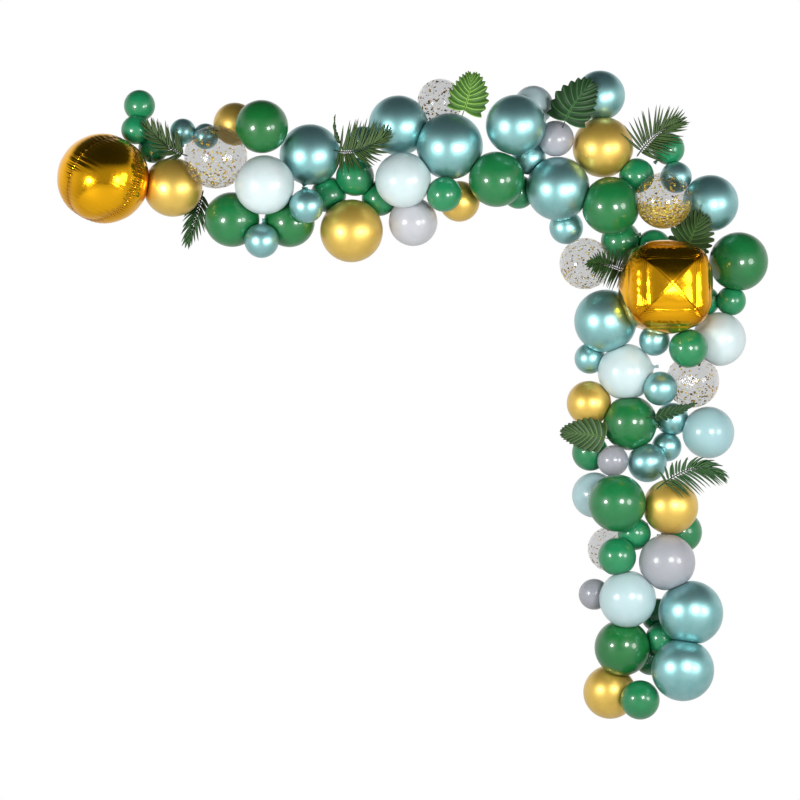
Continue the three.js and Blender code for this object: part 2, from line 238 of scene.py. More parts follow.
@dataclass(frozen=True)
class BallFinder:
    """Finds the balls whose facets make up a node, from the node's own corners.

    Attributes:
        tries: How many sets of four near corners are tried for each ball.
        near: How many nearest corners a set is drawn from.
        fit: How near to a ball a corner has to lie to be one of its own.
        least: Smallest radius looked for.
        most: Largest radius looked for.
        enough: How many corners of its own a ball has to have before its knot counts for it.
        knot_worth: How many corners a knot in the right place counts for.
        neck_cone: Cosine of the angle about a neck within which the corners belong to it.
    """

    tries: int = 5000
    near: int = 16
    fit: float = 0.04 * MM
    least: float = 45 * MM
    most: float = 150 * MM
    enough: int = 9
    knot_worth: int = 4
    neck_cone: float = math.cos(math.radians(26))

    def corners(self, node: bpy.types.Object) -> np.ndarray:
        """Lists a node's corners, each once.

        Args:
            node: The CAD node.

        Returns:
            One row for each corner.
        """
        places = np.zeros(len(node.data.vertices) * 3)
        node.data.vertices.foreach_get("co", places)
        return np.unique(np.round(places.reshape(-1, 3), 7), axis=0)

    def trial_centres(self, left: np.ndarray, chance: np.random.Generator) -> tuple[np.ndarray, np.ndarray]:
        """Works out the balls through many sets of four near corners.

        Args:
            left: The corners that aren't on a ball yet.
            chance: Seeded source of the choices.

        Returns:
            The centres and the radii.
        """
        apart = np.linalg.norm(left[:, None] - left[None], axis=2)
        nearest = np.argsort(apart, axis=1)[:, 1 : self.near + 1]
        first = chance.integers(0, len(left), self.tries)
        others = np.argsort(chance.random((self.tries, nearest.shape[1])), axis=1)[:, :3]
        start = left[first]
        steps = left[nearest[first[:, None], others]] - start[:, None]
        solvable = np.abs(np.linalg.det(steps)) > 1e-8
        steps, start = steps[solvable], start[solvable]
        halves = (steps**2).sum(axis=2) / 2
        offsets = np.linalg.solve(steps, halves[..., None])[..., 0]
        radii = np.linalg.norm(offsets, axis=1)
        likely = (radii > self.least * FACET_SWELL) & (radii < self.most * FACET_SWELL)
        return (start + offsets)[likely], radii[likely]

    def refine(self, own: np.ndarray) -> tuple[np.ndarray, float]:
        """Fits one ball to corners that all lie on it.

        Args:
            own: The corners.

        Returns:
            The centre and the radius.
        """
        middle = own.mean(axis=0)
        shifted = own - middle
        table = np.column_stack((2 * shifted, np.ones(len(own))))
        answer = np.linalg.lstsq(table, (shifted**2).sum(axis=1), rcond=None)[0]
        return middle + answer[:3], math.sqrt(answer[3] + answer[:3] @ answer[:3])

    def neck_of(self, corners: np.ndarray, centre: np.ndarray, radius: float) -> np.ndarray:
        """Finds which way a balloon's knot points.

        Args:
            corners: All corners of the node.
            centre: The ball's middle.
            radius: Its radius.

        Returns:
            A unit vector, towards the wall where the knot can't be told.
        """
        away = corners - centre
        reach = np.linalg.norm(away, axis=1)
        tips = np.abs(reach - radius - NECK_LENGTH) < 0.1 * MM
        return away[tips][0] / reach[tips][0] if tips.any() else np.array((0.0, 1.0, 0.0))

    def find(self, node: bpy.types.Object, count: int) -> list[Ball]:
        """Finds a node's balls, the surest first.

        Args:
            node: The CAD node.
            count: How many balls it holds.

        Returns:
            The balls.
        """
        chance = np.random.default_rng(len(node.name))
        corners = self.corners(node)
        left = corners
        balls = []
        for _ in range(count):
            centres, radii = self.trial_centres(left, chance)
            miss = np.abs(np.linalg.norm(left[None] - centres[:, None], axis=2) - radii[:, None])
            worth = (miss < self.fit).sum(axis=1)
            knot_reach = radii / FACET_SWELL + NECK_LENGTH
            knot_miss = np.abs(np.linalg.norm(corners[None] - centres[:, None], axis=2) - knot_reach[:, None])
            knotted = (knot_miss < self.fit).any(axis=1) & (worth >= self.enough)
            best = np.argmax(worth + self.knot_worth * knotted)
            own = miss[best] < self.fit
            centre, radius = self.refine(left[own])
            radius /= FACET_SWELL
            neck = self.neck_of(corners, centre, radius)
            balls.append(Ball(node.name, centre, radius, neck))
            away = left - centre
            reach = np.linalg.norm(away, axis=1)
            on_neck = (away @ neck > reach * self.neck_cone) & (reach < radius + NECK_LENGTH * 1.01)
            left = left[~own & ~on_neck]
        return balls


@dataclass
class MeshDraft:
    """Points, faces and values that are gathered for one mesh.

    Attributes:
        points: Blocks of points.
        faces: Faces as lists of point numbers.
        values: Blocks of values at the points, by name, with one or three columns.
        count: How many points there are so far.
    """

    points: list[np.ndarray] = field(default_factory=list)
    faces: list[list[int]] = field(default_factory=list)
    values: dict[str, list[np.ndarray]] = field(default_factory=dict)
    count: int = 0

    def add(self, points: np.ndarray, faces: list[np.ndarray], **values: np.ndarray) -> None:
        """Adds a block of points with its faces.

        Args:
            points: The points.
            faces: Arrays of point numbers within the block, one row for each face.
            values: Values at the points, by name. Each block of a draft gives the same names.
        """
        for block in faces:
            self.faces.extend((block + self.count).tolist())
        self.points.append(points)
        for name, column in values.items():
            self.values.setdefault(name, []).append(column)
        self.count += len(points)

    def build(self, name: str, material: bpy.types.Material) -> bpy.types.Object:
        """Makes the mesh and its object.

        Args:
            name: The object's name.
            material: Its material.

        Returns:
            The new object, linked to the scene.
        """
        mesh = bpy.data.meshes.new(name)
        mesh.from_pydata(np.vstack(self.points).tolist(), [], self.faces)
        mesh.materials.append(material)
        mesh.polygons.foreach_set("use_smooth", [True] * len(self.faces))
        for title, blocks in self.values.items():
            column = np.concatenate(blocks)
            kind, key = ("FLOAT_VECTOR", "vector") if column.ndim == 2 else ("FLOAT", "value")
            layer = mesh.attributes.new(title, kind, "POINT")
            layer.data.foreach_set(key, column.astype(np.float32).ravel())
        mesh.validate()
        mesh.update()
        thing = bpy.data.objects.new(name, mesh)
        bpy.context.scene.collection.objects.link(thing)
        return thing


def ring_faces(rings: int, around: int) -> list[np.ndarray]:
    """Lists the faces of a closed skin with a point at each end and rings between them.

    The points are the first end, then ring after ring, then the other end.

    Args:
        rings: How many rings.
        around: How many points in each.

    Returns:
        Arrays of four-sided and of three-sided faces, seen from outside.
    """
    turn = np.arange(around)
    after = (turn + 1) % around
    start = 1 + around * np.arange(rings - 1)[:, None]
    sides = np.stack(
        (start + turn, start + after, start + around + after, start + around + turn), axis=2
    ).reshape(-1, 4)
    first = np.stack((np.zeros(around, int), 1 + after, 1 + turn), axis=1)
    last = 1 + around * (rings - 1)
    end = np.stack((last + turn, last + after, np.full(around, last + around)), axis=1)
    return [sides, first, end]


def lathe(profile: np.ndarray, around: int) -> np.ndarray:
    """Turns a profile about +z.

    Args:
        profile: Rows of distance from the axis and height, the first and the last on the axis.
        around: How many points in each ring.

    Returns:
        The points, in the order that ring_faces expects.
    """
    turn = np.arange(around) * (2 * math.pi / around)
    circle = np.column_stack((np.cos(turn), np.sin(turn)))
    rings = profile[1:-1]
    flat = (rings[:, 0, None, None] * circle[None]).reshape(-1, 2)
    height = np.repeat(rings[:, 1], around)
    ends = [np.array([[0.0, 0.0, profile[end, 1]]]) for end in (0, -1)]
    return np.vstack((ends[0], np.column_stack((flat, height)), ends[1]))


def sweep(line: np.ndarray, upward: np.ndarray, sections: np.ndarray) -> np.ndarray:
    """Carries cross-sections along a line.

    Args:
        line: The first end, a point for each section, and the last end.
        upward: A vector that each section's second axis leans to.
        sections: For each ring, rows of sideways and upward offsets, in turn about the line.

    Returns:
        The points, in the order that ring_faces expects.
    """
    ahead = np.gradient(line, axis=0)[1:-1]
    ahead /= np.linalg.norm(ahead, axis=1)[:, None]
    aside = np.cross(upward, ahead)
    aside /= np.linalg.norm(aside, axis=1)[:, None]
    above = np.cross(ahead, aside)
    rings = line[1:-1, None] + sections[..., :1] * aside[:, None] + sections[..., 1:] * above[:, None]
    return np.vstack((line[:1], rings.reshape(-1, 3), line[-1:]))


@dataclass(frozen=True)
class Finish:
    """A finish that makes its own material: one shader and what feeds it.

    Attributes:
        name: The material's name.
        reads: The values that it reads from the mesh.
    """

    name: str
    reads: ClassVar[tuple[str, ...]] = ()

    def feeds(self, tree: bpy.types.NodeTree, *read: bpy.types.NodeSocket) -> dict:
        """Gives the shader's inputs by name. Each kind of finish has its own.

        Args:
            tree: The material's node tree.
            read: The values read from the mesh.

        Returns:
            The inputs. The base colour is a list: the lowest colour, then what covers it and in what colour.
        """
        raise NotImplementedError

    def material(self) -> bpy.types.Material:
        """Makes the material.

        Returns:
            The new material.
        """
        material = bpy.data.materials.new(self.name)
        material.use_nodes = True
        tree = material.node_tree
        tree.nodes.clear()
        read = []
        for title in self.reads:
            value = add_node(tree, "ShaderNodeAttribute", {"attribute_name": title})
            read.append(value.outputs["Vector" if title == "place" else "Fac"])
        inputs = self.feeds(tree, *read)
        colour, *layers = inputs.pop("Base Color")
        for cover, over in layers:
            mixed = {0: cover, 6: colour, 7: linear(over)}
            colour = add_node(tree, "ShaderNodeMix", {"data_type": "RGBA"}, mixed).outputs[2]
        shader = add_node(tree, "ShaderNodeBsdfPrincipled", inputs={"Base Color": colour, **inputs})
        add_node(tree, "ShaderNodeOutputMaterial", inputs={"Surface": shader.outputs[0]})
        return material


@dataclass(frozen=True)
class LatexFinish(Finish):
    """Natural rubber latex, dip-moulded and blown up: a glossy skin of dyed rubber.

    It is smooth, with a faint ripple and a patchy bloom under its gloss. The dye is a touch uneven, deeper
    where the rubber is thick at the neck, and small balloons take the light a little differently.

    Attributes:
        large: Colour of a large balloon.
        small: Colour of a small one.
        thick: Colour at the thick neck.
        roughness: Roughness of the gloss on top.
        glow: How much light passes on under the skin.
        sheen_roughness: Roughness of the rubber under the gloss.
        gloss: How strong the gloss on top is.
        shine: How strong the rubber's own shine is.
    """

    large: str
    small: str
    thick: str
    roughness: float = 0.1
    glow: float = 0.1
    sheen_roughness: float = 0.36
    gloss: float = 0.6
    shine: float = 0.36
    latex_ior: float = 1.52
    glow_depth: float = 12 * MM
    mottle_size: float = 38 * MM
    bloom_size: float = 16 * MM
    ripple_size: float = 11 * MM
    ripple_height: float = 0.05 * MM
    reads: ClassVar[tuple[str, ...]] = ("place", "fullness", "thickness")

    def feeds(self, tree: bpy.types.NodeTree, *read: bpy.types.NodeSocket) -> dict:
        """Works out the dyed latex.

        Args:
            tree: The material's node tree.
            read: The place, how full the balloon is, which for some balloons holds their tint and painted
                shade, and the rubber's thickness.

        Returns:
            The shader's inputs.
        """
        place, fullness, thickness = read
        inputs = {"Vector": place, "Scale": 1 / self.mottle_size}
        mottle = add_node(tree, "ShaderNodeTexNoise", inputs=inputs)
        inputs = {"Value": mottle, **NOISE_MIDDLE, 3: 0.0, 4: 0.16}
        mottle = add_node(tree, "ShaderNodeMapRange", inputs=inputs)
        inputs = {"Vector": place, "Scale": 1 / self.bloom_size, "Detail": 3.0}
        bloom = add_node(tree, "ShaderNodeTexNoise", inputs=inputs)
        low, high = self.sheen_roughness * 0.8, self.sheen_roughness * 1.25
        inputs = {"Value": bloom, **NOISE_MIDDLE, 3: low, 4: high}
        satin = add_node(tree, "ShaderNodeMapRange", inputs=inputs)
        inputs = {"Vector": place, "Scale": 1 / self.ripple_size}
        ripple = add_node(tree, "ShaderNodeTexNoise", inputs=inputs)
        bump = {"Height": ripple, "Distance": self.ripple_height, "Strength": 0.6}
        # The mix towards the large balloons' colour also carries the painted shade of the balloons with a
        # listed shade.
        dye = [linear(self.small), (fullness, self.large), (mottle, self.thick), (thickness, self.thick)]
        return {
            "Base Color": dye,
            "Roughness": satin,
            "Normal": add_node(tree, "ShaderNodeBump", inputs=bump).outputs[0],
            "IOR": self.latex_ior,
            "Specular IOR Level": self.shine,
            "Coat Weight": self.gloss,
            "Coat Roughness": self.roughness,
            "Subsurface Weight": self.glow,
            "Subsurface Radius": (0.5, 0.8, 0.6),
            "Subsurface Scale": self.glow_depth,
        }


@dataclass(frozen=True)
class ChromeLatexFinish(Finish):
    """Natural rubber latex with a metallic pigment on its skin: satin metal that is stretched smooth.

    Flakes of pigment lie flat on the tight skin, so lights show as wide soft blooms and the surroundings as
    soft bands. The pigment has faint clouds and fine grains, and is richer where the skin is thick.

    Attributes:
        pigment: Colour of the metal.
        deep: Colour where the pigment is dense.
        roughness: Roughness of the satin.
        metallic: How much of the skin the pigment covers.
        lacquer: How strong the shine over the pigment is.
    """

    pigment: str
    deep: str
    roughness: float = 0.36
    metallic: float = 0.92
    lacquer: float = 0.75
    lacquer_roughness: float = 0.34
    cloud_size: float = 42 * MM
    ripple_size: float = 14 * MM
    # Real pigment grains are far finer: these are as coarse as they need to be to show.
    grain_size: float = 1.6 * MM
    grain_height: float = 0.012 * MM
    reads: ClassVar[tuple[str, ...]] = ("place", "thickness")

    def feeds(self, tree: bpy.types.NodeTree, *read: bpy.types.NodeSocket) -> dict:
        """Works out the metallic latex.

        Args:
            tree: The material's node tree.
            read: The place and the rubber's thickness.

        Returns:
            The shader's inputs.
        """
        place, thickness = read
        inputs = {"Vector": place, "Scale": 1 / self.cloud_size, "Detail": 3.0}
        cloud = add_node(tree, "ShaderNodeTexNoise", inputs=inputs)
        inputs = {"Value": cloud, **NOISE_MIDDLE, 3: 0.0, 4: 0.3}
        dense = add_node(tree, "ShaderNodeMapRange", inputs=inputs)
        inputs = {"Value": cloud, **NOISE_MIDDLE, 3: self.roughness * 0.92, 4: self.roughness * 1.1}
        satin = add_node(tree, "ShaderNodeMapRange", inputs=inputs)
        inputs = {"Vector": place, "Scale": 1 / self.grain_size}
        grain = add_node(tree, "ShaderNodeTexNoise", inputs=inputs)
        inputs = {"Vector": place, "Scale": 1 / self.ripple_size}
        ripple = add_node(tree, "ShaderNodeTexNoise", inputs=inputs)
        inputs = {0: ripple, 1: 4.0, 2: grain}
        relief = add_node(tree, "ShaderNodeMath", {"operation": "MULTIPLY_ADD"}, inputs).outputs[0]
        bump = {"Height": relief, "Distance": self.grain_height, "Strength": 0.7}
        return {
            "Base Color": [linear(self.pigment), (dense, self.deep), (thickness, self.deep)],
            "Metallic": self.metallic,
            "Roughness": satin,
            "Normal": add_node(tree, "ShaderNodeBump", inputs=bump).outputs[0],
            "Coat Weight": self.lacquer,
            "Coat Roughness": self.lacquer_roughness,
        }


@dataclass(frozen=True)
class ClearLatexFinish(Finish):
    """Undyed natural rubber latex, dip-moulded: a thin see-through skin with a faint grey cast and a gloss.

    Attributes:
        film: Colour of the little light that the film scatters.
        cloudy: The same in its cloudy places.
        cover: Share of the light that one skin holds back.
    """

    film: str = "#4c5350"
    cloudy: str = "#36393b"
    cover: float = 0.15
    roughness: float = 0.08
    gloss_roughness: float = 0.05
    latex_ior: float = 1.6
    haze_size: float = 34 * MM
    reads: ClassVar[tuple[str, ...]] = ("place",)

    def feeds(self, tree: bpy.types.NodeTree, *read: bpy.types.NodeSocket) -> dict:
        """Works out the clear latex.

        Args:
            tree: The material's node tree.
            read: The place.

        Returns:
            The shader's inputs.
        """
        inputs = {"Vector": read[0], "Scale": 1 / self.haze_size, "Detail": 3.0}
        haze = add_node(tree, "ShaderNodeTexNoise", inputs=inputs)
        inputs = {"Value": haze, **NOISE_MIDDLE, 3: 0.0, 4: 1.0}
        haze = add_node(tree, "ShaderNodeMapRange", inputs=inputs)
        return {
            "Base Color": [linear(self.film), (haze, self.cloudy)],
            "Alpha": self.cover,
            "Roughness": self.roughness,
            "IOR": self.latex_ior,
            "Coat Weight": 1.0,
            "Coat Roughness": self.gloss_roughness,
        }


@dataclass(frozen=True)
class MirrorFilmFinish(Finish):
    """Nylon film, metallised and welded at its edges: a gold mirror with fine creases.

    Attributes:
        metal: Colour of the mirror.
        deep: Colour painted into the folds, creases and welds: painted shade and the film's own dark
            reflection there.
    """

    metal: str
    deep: str
    roughness: float = 0.15
    crinkle_size: float = 9 * MM
    crinkle_height: float = 0.18 * MM
    reads: ClassVar[tuple[str, ...]] = ("place", "pucker")

    def feeds(self, tree: bpy.types.NodeTree, *read: bpy.types.NodeSocket) -> dict:
        """Works out the gold film.

        Args:
            tree: The material's node tree.
            read: The place, and how puckered the film is, which also sets how much painted shade darkens its
                folds.

        Returns:
            The shader's inputs.
        """
        place, pucker = read
        inputs = {"Vector": place, "Scale": 1 / self.crinkle_size, "Detail": 4.0}
        crinkle = add_node(tree, "ShaderNodeTexNoise", inputs=inputs)
        inputs = {"Value": crinkle, **NOISE_MIDDLE, 3: self.roughness * 0.8, 4: self.roughness * 1.3}
        satin = add_node(tree, "ShaderNodeMapRange", inputs=inputs)
        strength = add_node(tree, "ShaderNodeMapRange", inputs={"Value": pucker, 3: 0.12, 4: 1.0})
        bump = {"Height": crinkle, "Distance": self.crinkle_height, "Strength": strength.outputs[0]}
        return {
            # The deep colour in the folds and along the welds is painted shade and painted reflection.
            "Base Color": [linear(self.metal), (pucker, self.deep)],
            "Metallic": 1.0,
            "Roughness": satin,
            "Normal": add_node(tree, "ShaderNodeBump", inputs=bump).outputs[0],
        }


@dataclass(frozen=True)
class ConfettiFinish(Finish):
    """Metallised polyester leaf, torn into flakes: each flake has its own tone of gold.

    Attributes:
        dark: The darkest tone.
        middle: The tone a third of the way up.
        bright: The brightest tone.
    """

    dark: str
    middle: str
    bright: str
    metallic: float = 0.5
    roughness: float = 0.3
    crease_size: float = 2.5 * MM
    crease_height: float = 0.3 * MM
    reads: ClassVar[tuple[str, ...]] = ("place", "tone")

    def feeds(self, tree: bpy.types.NodeTree, *read: bpy.types.NodeSocket) -> dict:
        """Works out the flakes' metal.

        Args:
            tree: The material's node tree.
            read: The place and the flake's tone.

        Returns:
            The shader's inputs.
        """
        place, tone = read
        ramp = add_node(tree, "ShaderNodeValToRGB", inputs={"Fac": tone})
        stops = ramp.color_ramp.elements
        stops[0].color, stops[1].color = linear(self.dark), linear(self.bright)
        stops.new(0.35).color = linear(self.middle)
        inputs = {"Vector": place, "Scale": 1 / self.crease_size}
        crease = add_node(tree, "ShaderNodeTexNoise", inputs=inputs)
        bump = {"Height": crease, "Distance": self.crease_height, "Strength": 0.8}
        return {
            "Base Color": [ramp.outputs[0]],
            "Metallic": self.metallic,
            "Roughness": self.roughness,
            "Normal": add_node(tree, "ShaderNodeBump", inputs=bump).outputs[0],
        }


@dataclass(frozen=True)
class LeafFinish(Finish):
    """Polyethylene, pressed in a mould: an artificial leaf with a satin face, pale veins and fine ribs.

    Attributes:
        blade: Colour of a light leaflet.
        deep: Colour of a dark one and of the mottling.
        vein: Colour of the raised veins.
    """

    blade: str
    deep: str
    vein: str
    roughness: float = 0.46
    shine: float = 0.3
    rib_spacing: float = 1.6 * MM
    rib_length: float = 28 * MM
    rib_height: float = 0.25 * MM
    mottle_size: float = 18 * MM
    reads: ClassVar[tuple[str, ...]] = ("place", "tone", "vein")

    def feeds(self, tree: bpy.types.NodeTree, *read: bpy.types.NodeSocket) -> dict:
        """Works out the pressed leaf.

        Args:
            tree: The material's node tree.
            read: The place, the leaflet's tone, and how much of a vein there is.

        Returns:
            The shader's inputs.
        """
        place, tone, vein = read
        inputs = {0: place, 1: (1 / self.rib_spacing, 1 / self.rib_length, 1 / self.rib_spacing)}
        drawn_out = add_node(tree, "ShaderNodeVectorMath", {"operation": "MULTIPLY"}, inputs).outputs[0]
        inputs = {"Vector": drawn_out, "Scale": 1.0}
        ribs = add_node(tree, "ShaderNodeTexNoise", inputs=inputs)
        inputs = {"Value": ribs, **NOISE_MIDDLE, 3: 0.0, 4: 0.22}
        pale = add_node(tree, "ShaderNodeMapRange", inputs=inputs)
        inputs = {"Value": ribs, **NOISE_MIDDLE, 3: self.roughness * 0.8, 4: self.roughness * 1.25}
        satin = add_node(tree, "ShaderNodeMapRange", inputs=inputs)
        inputs = {"Vector": place, "Scale": 1 / self.mottle_size}
        mottle = add_node(tree, "ShaderNodeTexNoise", inputs=inputs)
        inputs = {"Value": mottle, **NOISE_MIDDLE, 3: 0.0, 4: 0.45}
        mottle = add_node(tree, "ShaderNodeMapRange", inputs=inputs)
        bump = {"Height": ribs, "Distance": self.rib_height, "Strength": 0.8}
        layers = [(tone, self.blade), (mottle, self.deep), (pale, self.vein), (vein, self.vein)]
        return {
            "Base Color": [linear(self.deep), *layers],
            "Roughness": satin,
            "Normal": add_node(tree, "ShaderNodeBump", inputs=bump).outputs[0],
            "Specular IOR Level": self.shine,
        }


@dataclass(frozen=True)
class FloorFinish(Finish):
    """Wall paint, rolled on: a matt pale grey floor that looks evenly lit.

    Attributes:
        paint: Its colour.
        glow: How much it lights up by itself.
    """

    paint: str = "#7e7e7c"
    roughness: float = 0.8
    glow: float = 0.5

    def feeds(self, tree: bpy.types.NodeTree, *read: bpy.types.NodeSocket) -> dict:
        """Gives the paint's plain values, which read nothing from the mesh."""
        light = {"Emission Color": linear("#ffffff"), "Emission Strength": self.glow}
        return {"Base Color": [linear(self.paint)], "Roughness": self.roughness, **light}


@dataclass
class TiedBalloon:
    """A latex balloon, blown up and tied: a ball that draws in to a neck, a knot and a rolled lip.

    Attributes:
        ball: The true ball that it fills.
        around: How many points in each ring of the ball.
        rings: How many rings on the ball.
        batch: A number from zero to one that is the balloon's own.
        shade: Where its size doesn't say, how far its colour is from the small balloons' to the large ones':
            partly its own tint, partly painted shade that darkens balloons lit less, mostly the lower ones.
    """

    ball: Ball
    batch: float
    shade: float | None = None
    around: int = 60
    rings: int = 34
    shoulder_rings: int = 9
    shoulder_angle: float = math.radians(126)
    neck_radius: float = 5 * MM
    neck_start: float = 5 * MM
    pleats: int = 9
    pleat_depth: float = 0.07
    wobble: float = 0.006
    wall: float = 0.4 * MM
    large_radius: float = 100 * MM
    small_radius: float = 65 * MM

    def profile(self) -> np.ndarray:
        """Draws the outline from the crown to the rolled lip.

        Returns:
            Rows of distance from the axis and height above the ball's middle.
        """
        radius = self.ball.radius
        angles = np.linspace(0, self.shoulder_angle, self.rings)
        ball = np.column_stack((np.sin(angles), -np.cos(angles))) * radius
        heading = np.array((math.cos(self.shoulder_angle), math.sin(self.shoulder_angle)))
        neck = np.array((self.neck_radius, radius + self.neck_start))
        handles = (ball[-1], ball[-1] + heading * radius * 0.5, neck - (0, radius * 0.14), neck)
        share = np.linspace(0, 1, self.shoulder_rings + 1)[1:, None]
        weights = ((1 - share) ** 3, 3 * share * (1 - share) ** 2, 3 * share**2 * (1 - share), share**3)
        shoulder = sum(weight * handle for weight, handle in zip(weights, handles))
        knot = np.array(((3.2, 8), (5.8, 10), (7, 12.5), (6.2, 15), (3.6, 16.5), (5.5, 18), (8, 19)))
        lip = np.array(((8.6, 19.8), (7.8, 20), (4, 19), (0, 18.6)))
        tied = np.vstack((knot, lip)) * MM + (0, radius)
        return np.vstack((ball, shoulder, tied))

    def outside(self) -> np.ndarray:
        """Makes the outer skin about the ball's middle, before it is pressed.

        Returns:
            The points, crown first, with the neck along +z.
        """
        radius = self.ball.radius
        points = lathe(self.profile(), self.around)
        turn = np.arctan2(points[:, 1], points[:, 0])
        height = points[:, 2] / radius
        phase = self.batch * math.tau
        gathered = smooth_step(height, 0.8, 1.04) * self.pleat_depth
        folded = 1 + gathered * np.sin(self.pleats * turn + phase) * (height < 1.06)
        points[:, :2] *= folded[:, None]
        lobes = np.sin(2 * turn + phase) * (1 - np.clip(height, -1, 1) ** 2) + np.sin(3.1 * height + phase)
        return points * (1 + self.wobble * 0.5 * lobes * (np.abs(height) < 1))[:, None]

    def inside(self) -> np.ndarray:
        """Makes the inner skin about the ball's middle, before it is pressed.

        Returns:
            The points of a ball that is the rubber's thickness smaller.
        """
        angles = np.linspace(0, math.pi, self.rings)
        radius = self.ball.radius * (1 - self.wobble) - self.wall
        return lathe(np.column_stack((np.sin(angles), -np.cos(angles))) * radius, self.around)

    def values(self, points: np.ndarray) -> dict[str, np.ndarray]:
        """Works out what the finish reads at each point.

        Args:
            points: The points about the ball's middle, neck along +z.

        Returns:
            The place on this balloon, the rubber's thickness and how full the balloon is; for the balloons
            with a listed shade, that value is their tint and painted shade instead.
        """
        height = points[:, 2] / self.ball.radius
        full = (self.ball.radius - self.small_radius) / (self.large_radius - self.small_radius)
        # A listed shade stands in for the size: partly the balloon's own tint, partly painted shade on the
        # less lit, mostly lower balloons.
        own = np.clip(full, 0, 1) * 0.75 + self.batch * 0.25 if self.shade is None else self.shade
        return {
            "place": points + self.batch * 7.0,
            "thickness": smooth_step(height, 0.82, 1.06) * 0.85,
            "fullness": np.full(len(points), float(own)),
        }

    def add_to(self, draft: MeshDraft, see_through: bool) -> None:
        """Adds the balloon to a mesh.

        Args:
            draft: The mesh.
            see_through: Whether it gets an inner skin, for a clear wall of true thickness.
        """
        turn = turn_onto(self.ball.neck)
        gap = TOUCH_GAP / 2
        outer = self.outside()
        placed = self.ball.pressed(outer @ turn.T, gap) + self.ball.centre
        faces = ring_faces((len(outer) - 2) // self.around, self.around)
        draft.add(placed, faces, **self.values(outer))
        if see_through:
            inner = self.inside()
            placed = self.ball.pressed(inner @ turn.T, gap + self.wall) + self.ball.centre
            faces = [block[:, ::-1] for block in ring_faces(self.rings - 2, self.around)]
            draft.add(placed, faces, **self.values(inner))


@dataclass
class ConfettiFill:
    """Flakes of torn metal leaf that cling to the inside of a clear balloon.

    Attributes:
        flakes: How many.
        sunk: Share of them that has gathered in the lower half.
        smallest: Smallest flake, across.
        largest: Largest flake, across.
        brightness: Tone of most of them, from zero to one.
        variety: How much the tones differ.
        tilt: How far the flakes lean off the skin.
        curl: Bend of a flake, for each metre from its middle squared.
        clearance: How far they stay from the flats.
        hug: Radius that they lie at, as a share of the ball's.
        shoulder_draw: How much less that is at the shoulder, where the skin draws in to the neck.
        shoulder: Cosines of the angle from the neck between which the shoulder begins.
    """

    flakes: int
    sunk: float
    smallest: float
    largest: float
    brightness: float
    variety: float = 0.32
    sides: int = 5
    thickness: float = 0.15 * MM
    clearance: float = 1.4 * MM
    tilt: float = 0.3
    curl: float = 12.0
    hug: float = 0.985
    shoulder_draw: float = 0.03
    shoulder: tuple[float, float] = (0.5, 0.75)

    def directions(self, chance: np.random.Generator) -> np.ndarray:
        """Scatters the flakes' directions, more of them downwards.

        Args:
            chance: Seeded source of the scatter.

        Returns:
            Unit vectors.
        """
        away = chance.normal(size=(self.flakes, 3))
        away /= np.linalg.norm(away, axis=1)[:, None]
        low = chance.random(self.flakes) < self.sunk
        away[low, 2] = -np.abs(away[low, 2]) - 0.35 * chance.random(low.sum())
        return away / np.linalg.norm(away, axis=1)[:, None]

    def build(self, ball: Ball, name: str, material: bpy.types.Material) -> bpy.types.Object:
        """Makes all flakes of one balloon as one mesh.

        Args:
            ball: The clear balloon's ball.
            name: The piece's name.
            material: The flakes' finish.

        Returns:
            The new piece.
        """
        chance = np.random.default_rng(round(ball.radius / MM) + self.flakes)
        draft = MeshDraft()
        away = self.directions(chance)
        middles = ball.pressed(away * (ball.radius * self.hug - self.clearance), self.clearance)
        faces = ring_faces(2, self.sides)
        sheet = np.repeat((-0.5, 0.5), self.sides + 1) * self.thickness
        wall = ball.radius * self.hug - self.thickness + sheet
        for middle, facing in zip(middles, away):
            leaning = facing + chance.normal(size=3) * self.tilt
            turn = turn_onto(leaning / np.linalg.norm(leaning))
            half = chance.uniform(self.smallest, self.largest) / 2
            angles = (np.arange(self.sides) + chance.uniform(-0.3, 0.3, self.sides)) * math.tau / self.sides
            edge = half * chance.uniform(0.55, 1.2, self.sides)
            flat = np.column_stack((np.cos(angles) * edge, np.sin(angles) * edge * chance.uniform(0.5, 1)))
            curl = (flat[:, 0] ** 2) * self.curl
            layers = [np.column_stack((flat, curl + side * self.thickness / 2)) for side in (-1, 1)]
            ends = [np.array([[0.0, 0.0, side * self.thickness / 2]]) for side in (-1, 1)]
            points = np.vstack((ends[0], *layers, ends[1])) @ turn.T + middle
            lengths = np.linalg.norm(points, axis=1)
            drawn = 1 - self.shoulder_draw * smooth_step(points @ ball.neck / lengths, *self.shoulder)
            points *= np.minimum(1, wall * drawn / lengths)[:, None]
            points = ball.pressed(points, self.clearance) + ball.centre
            tone = np.clip(chance.normal(self.brightness, self.variety), 0, 1)
            draft.add(points, faces, place=points, tone=np.full(len(points), tone))
        return draft.build(name, material)


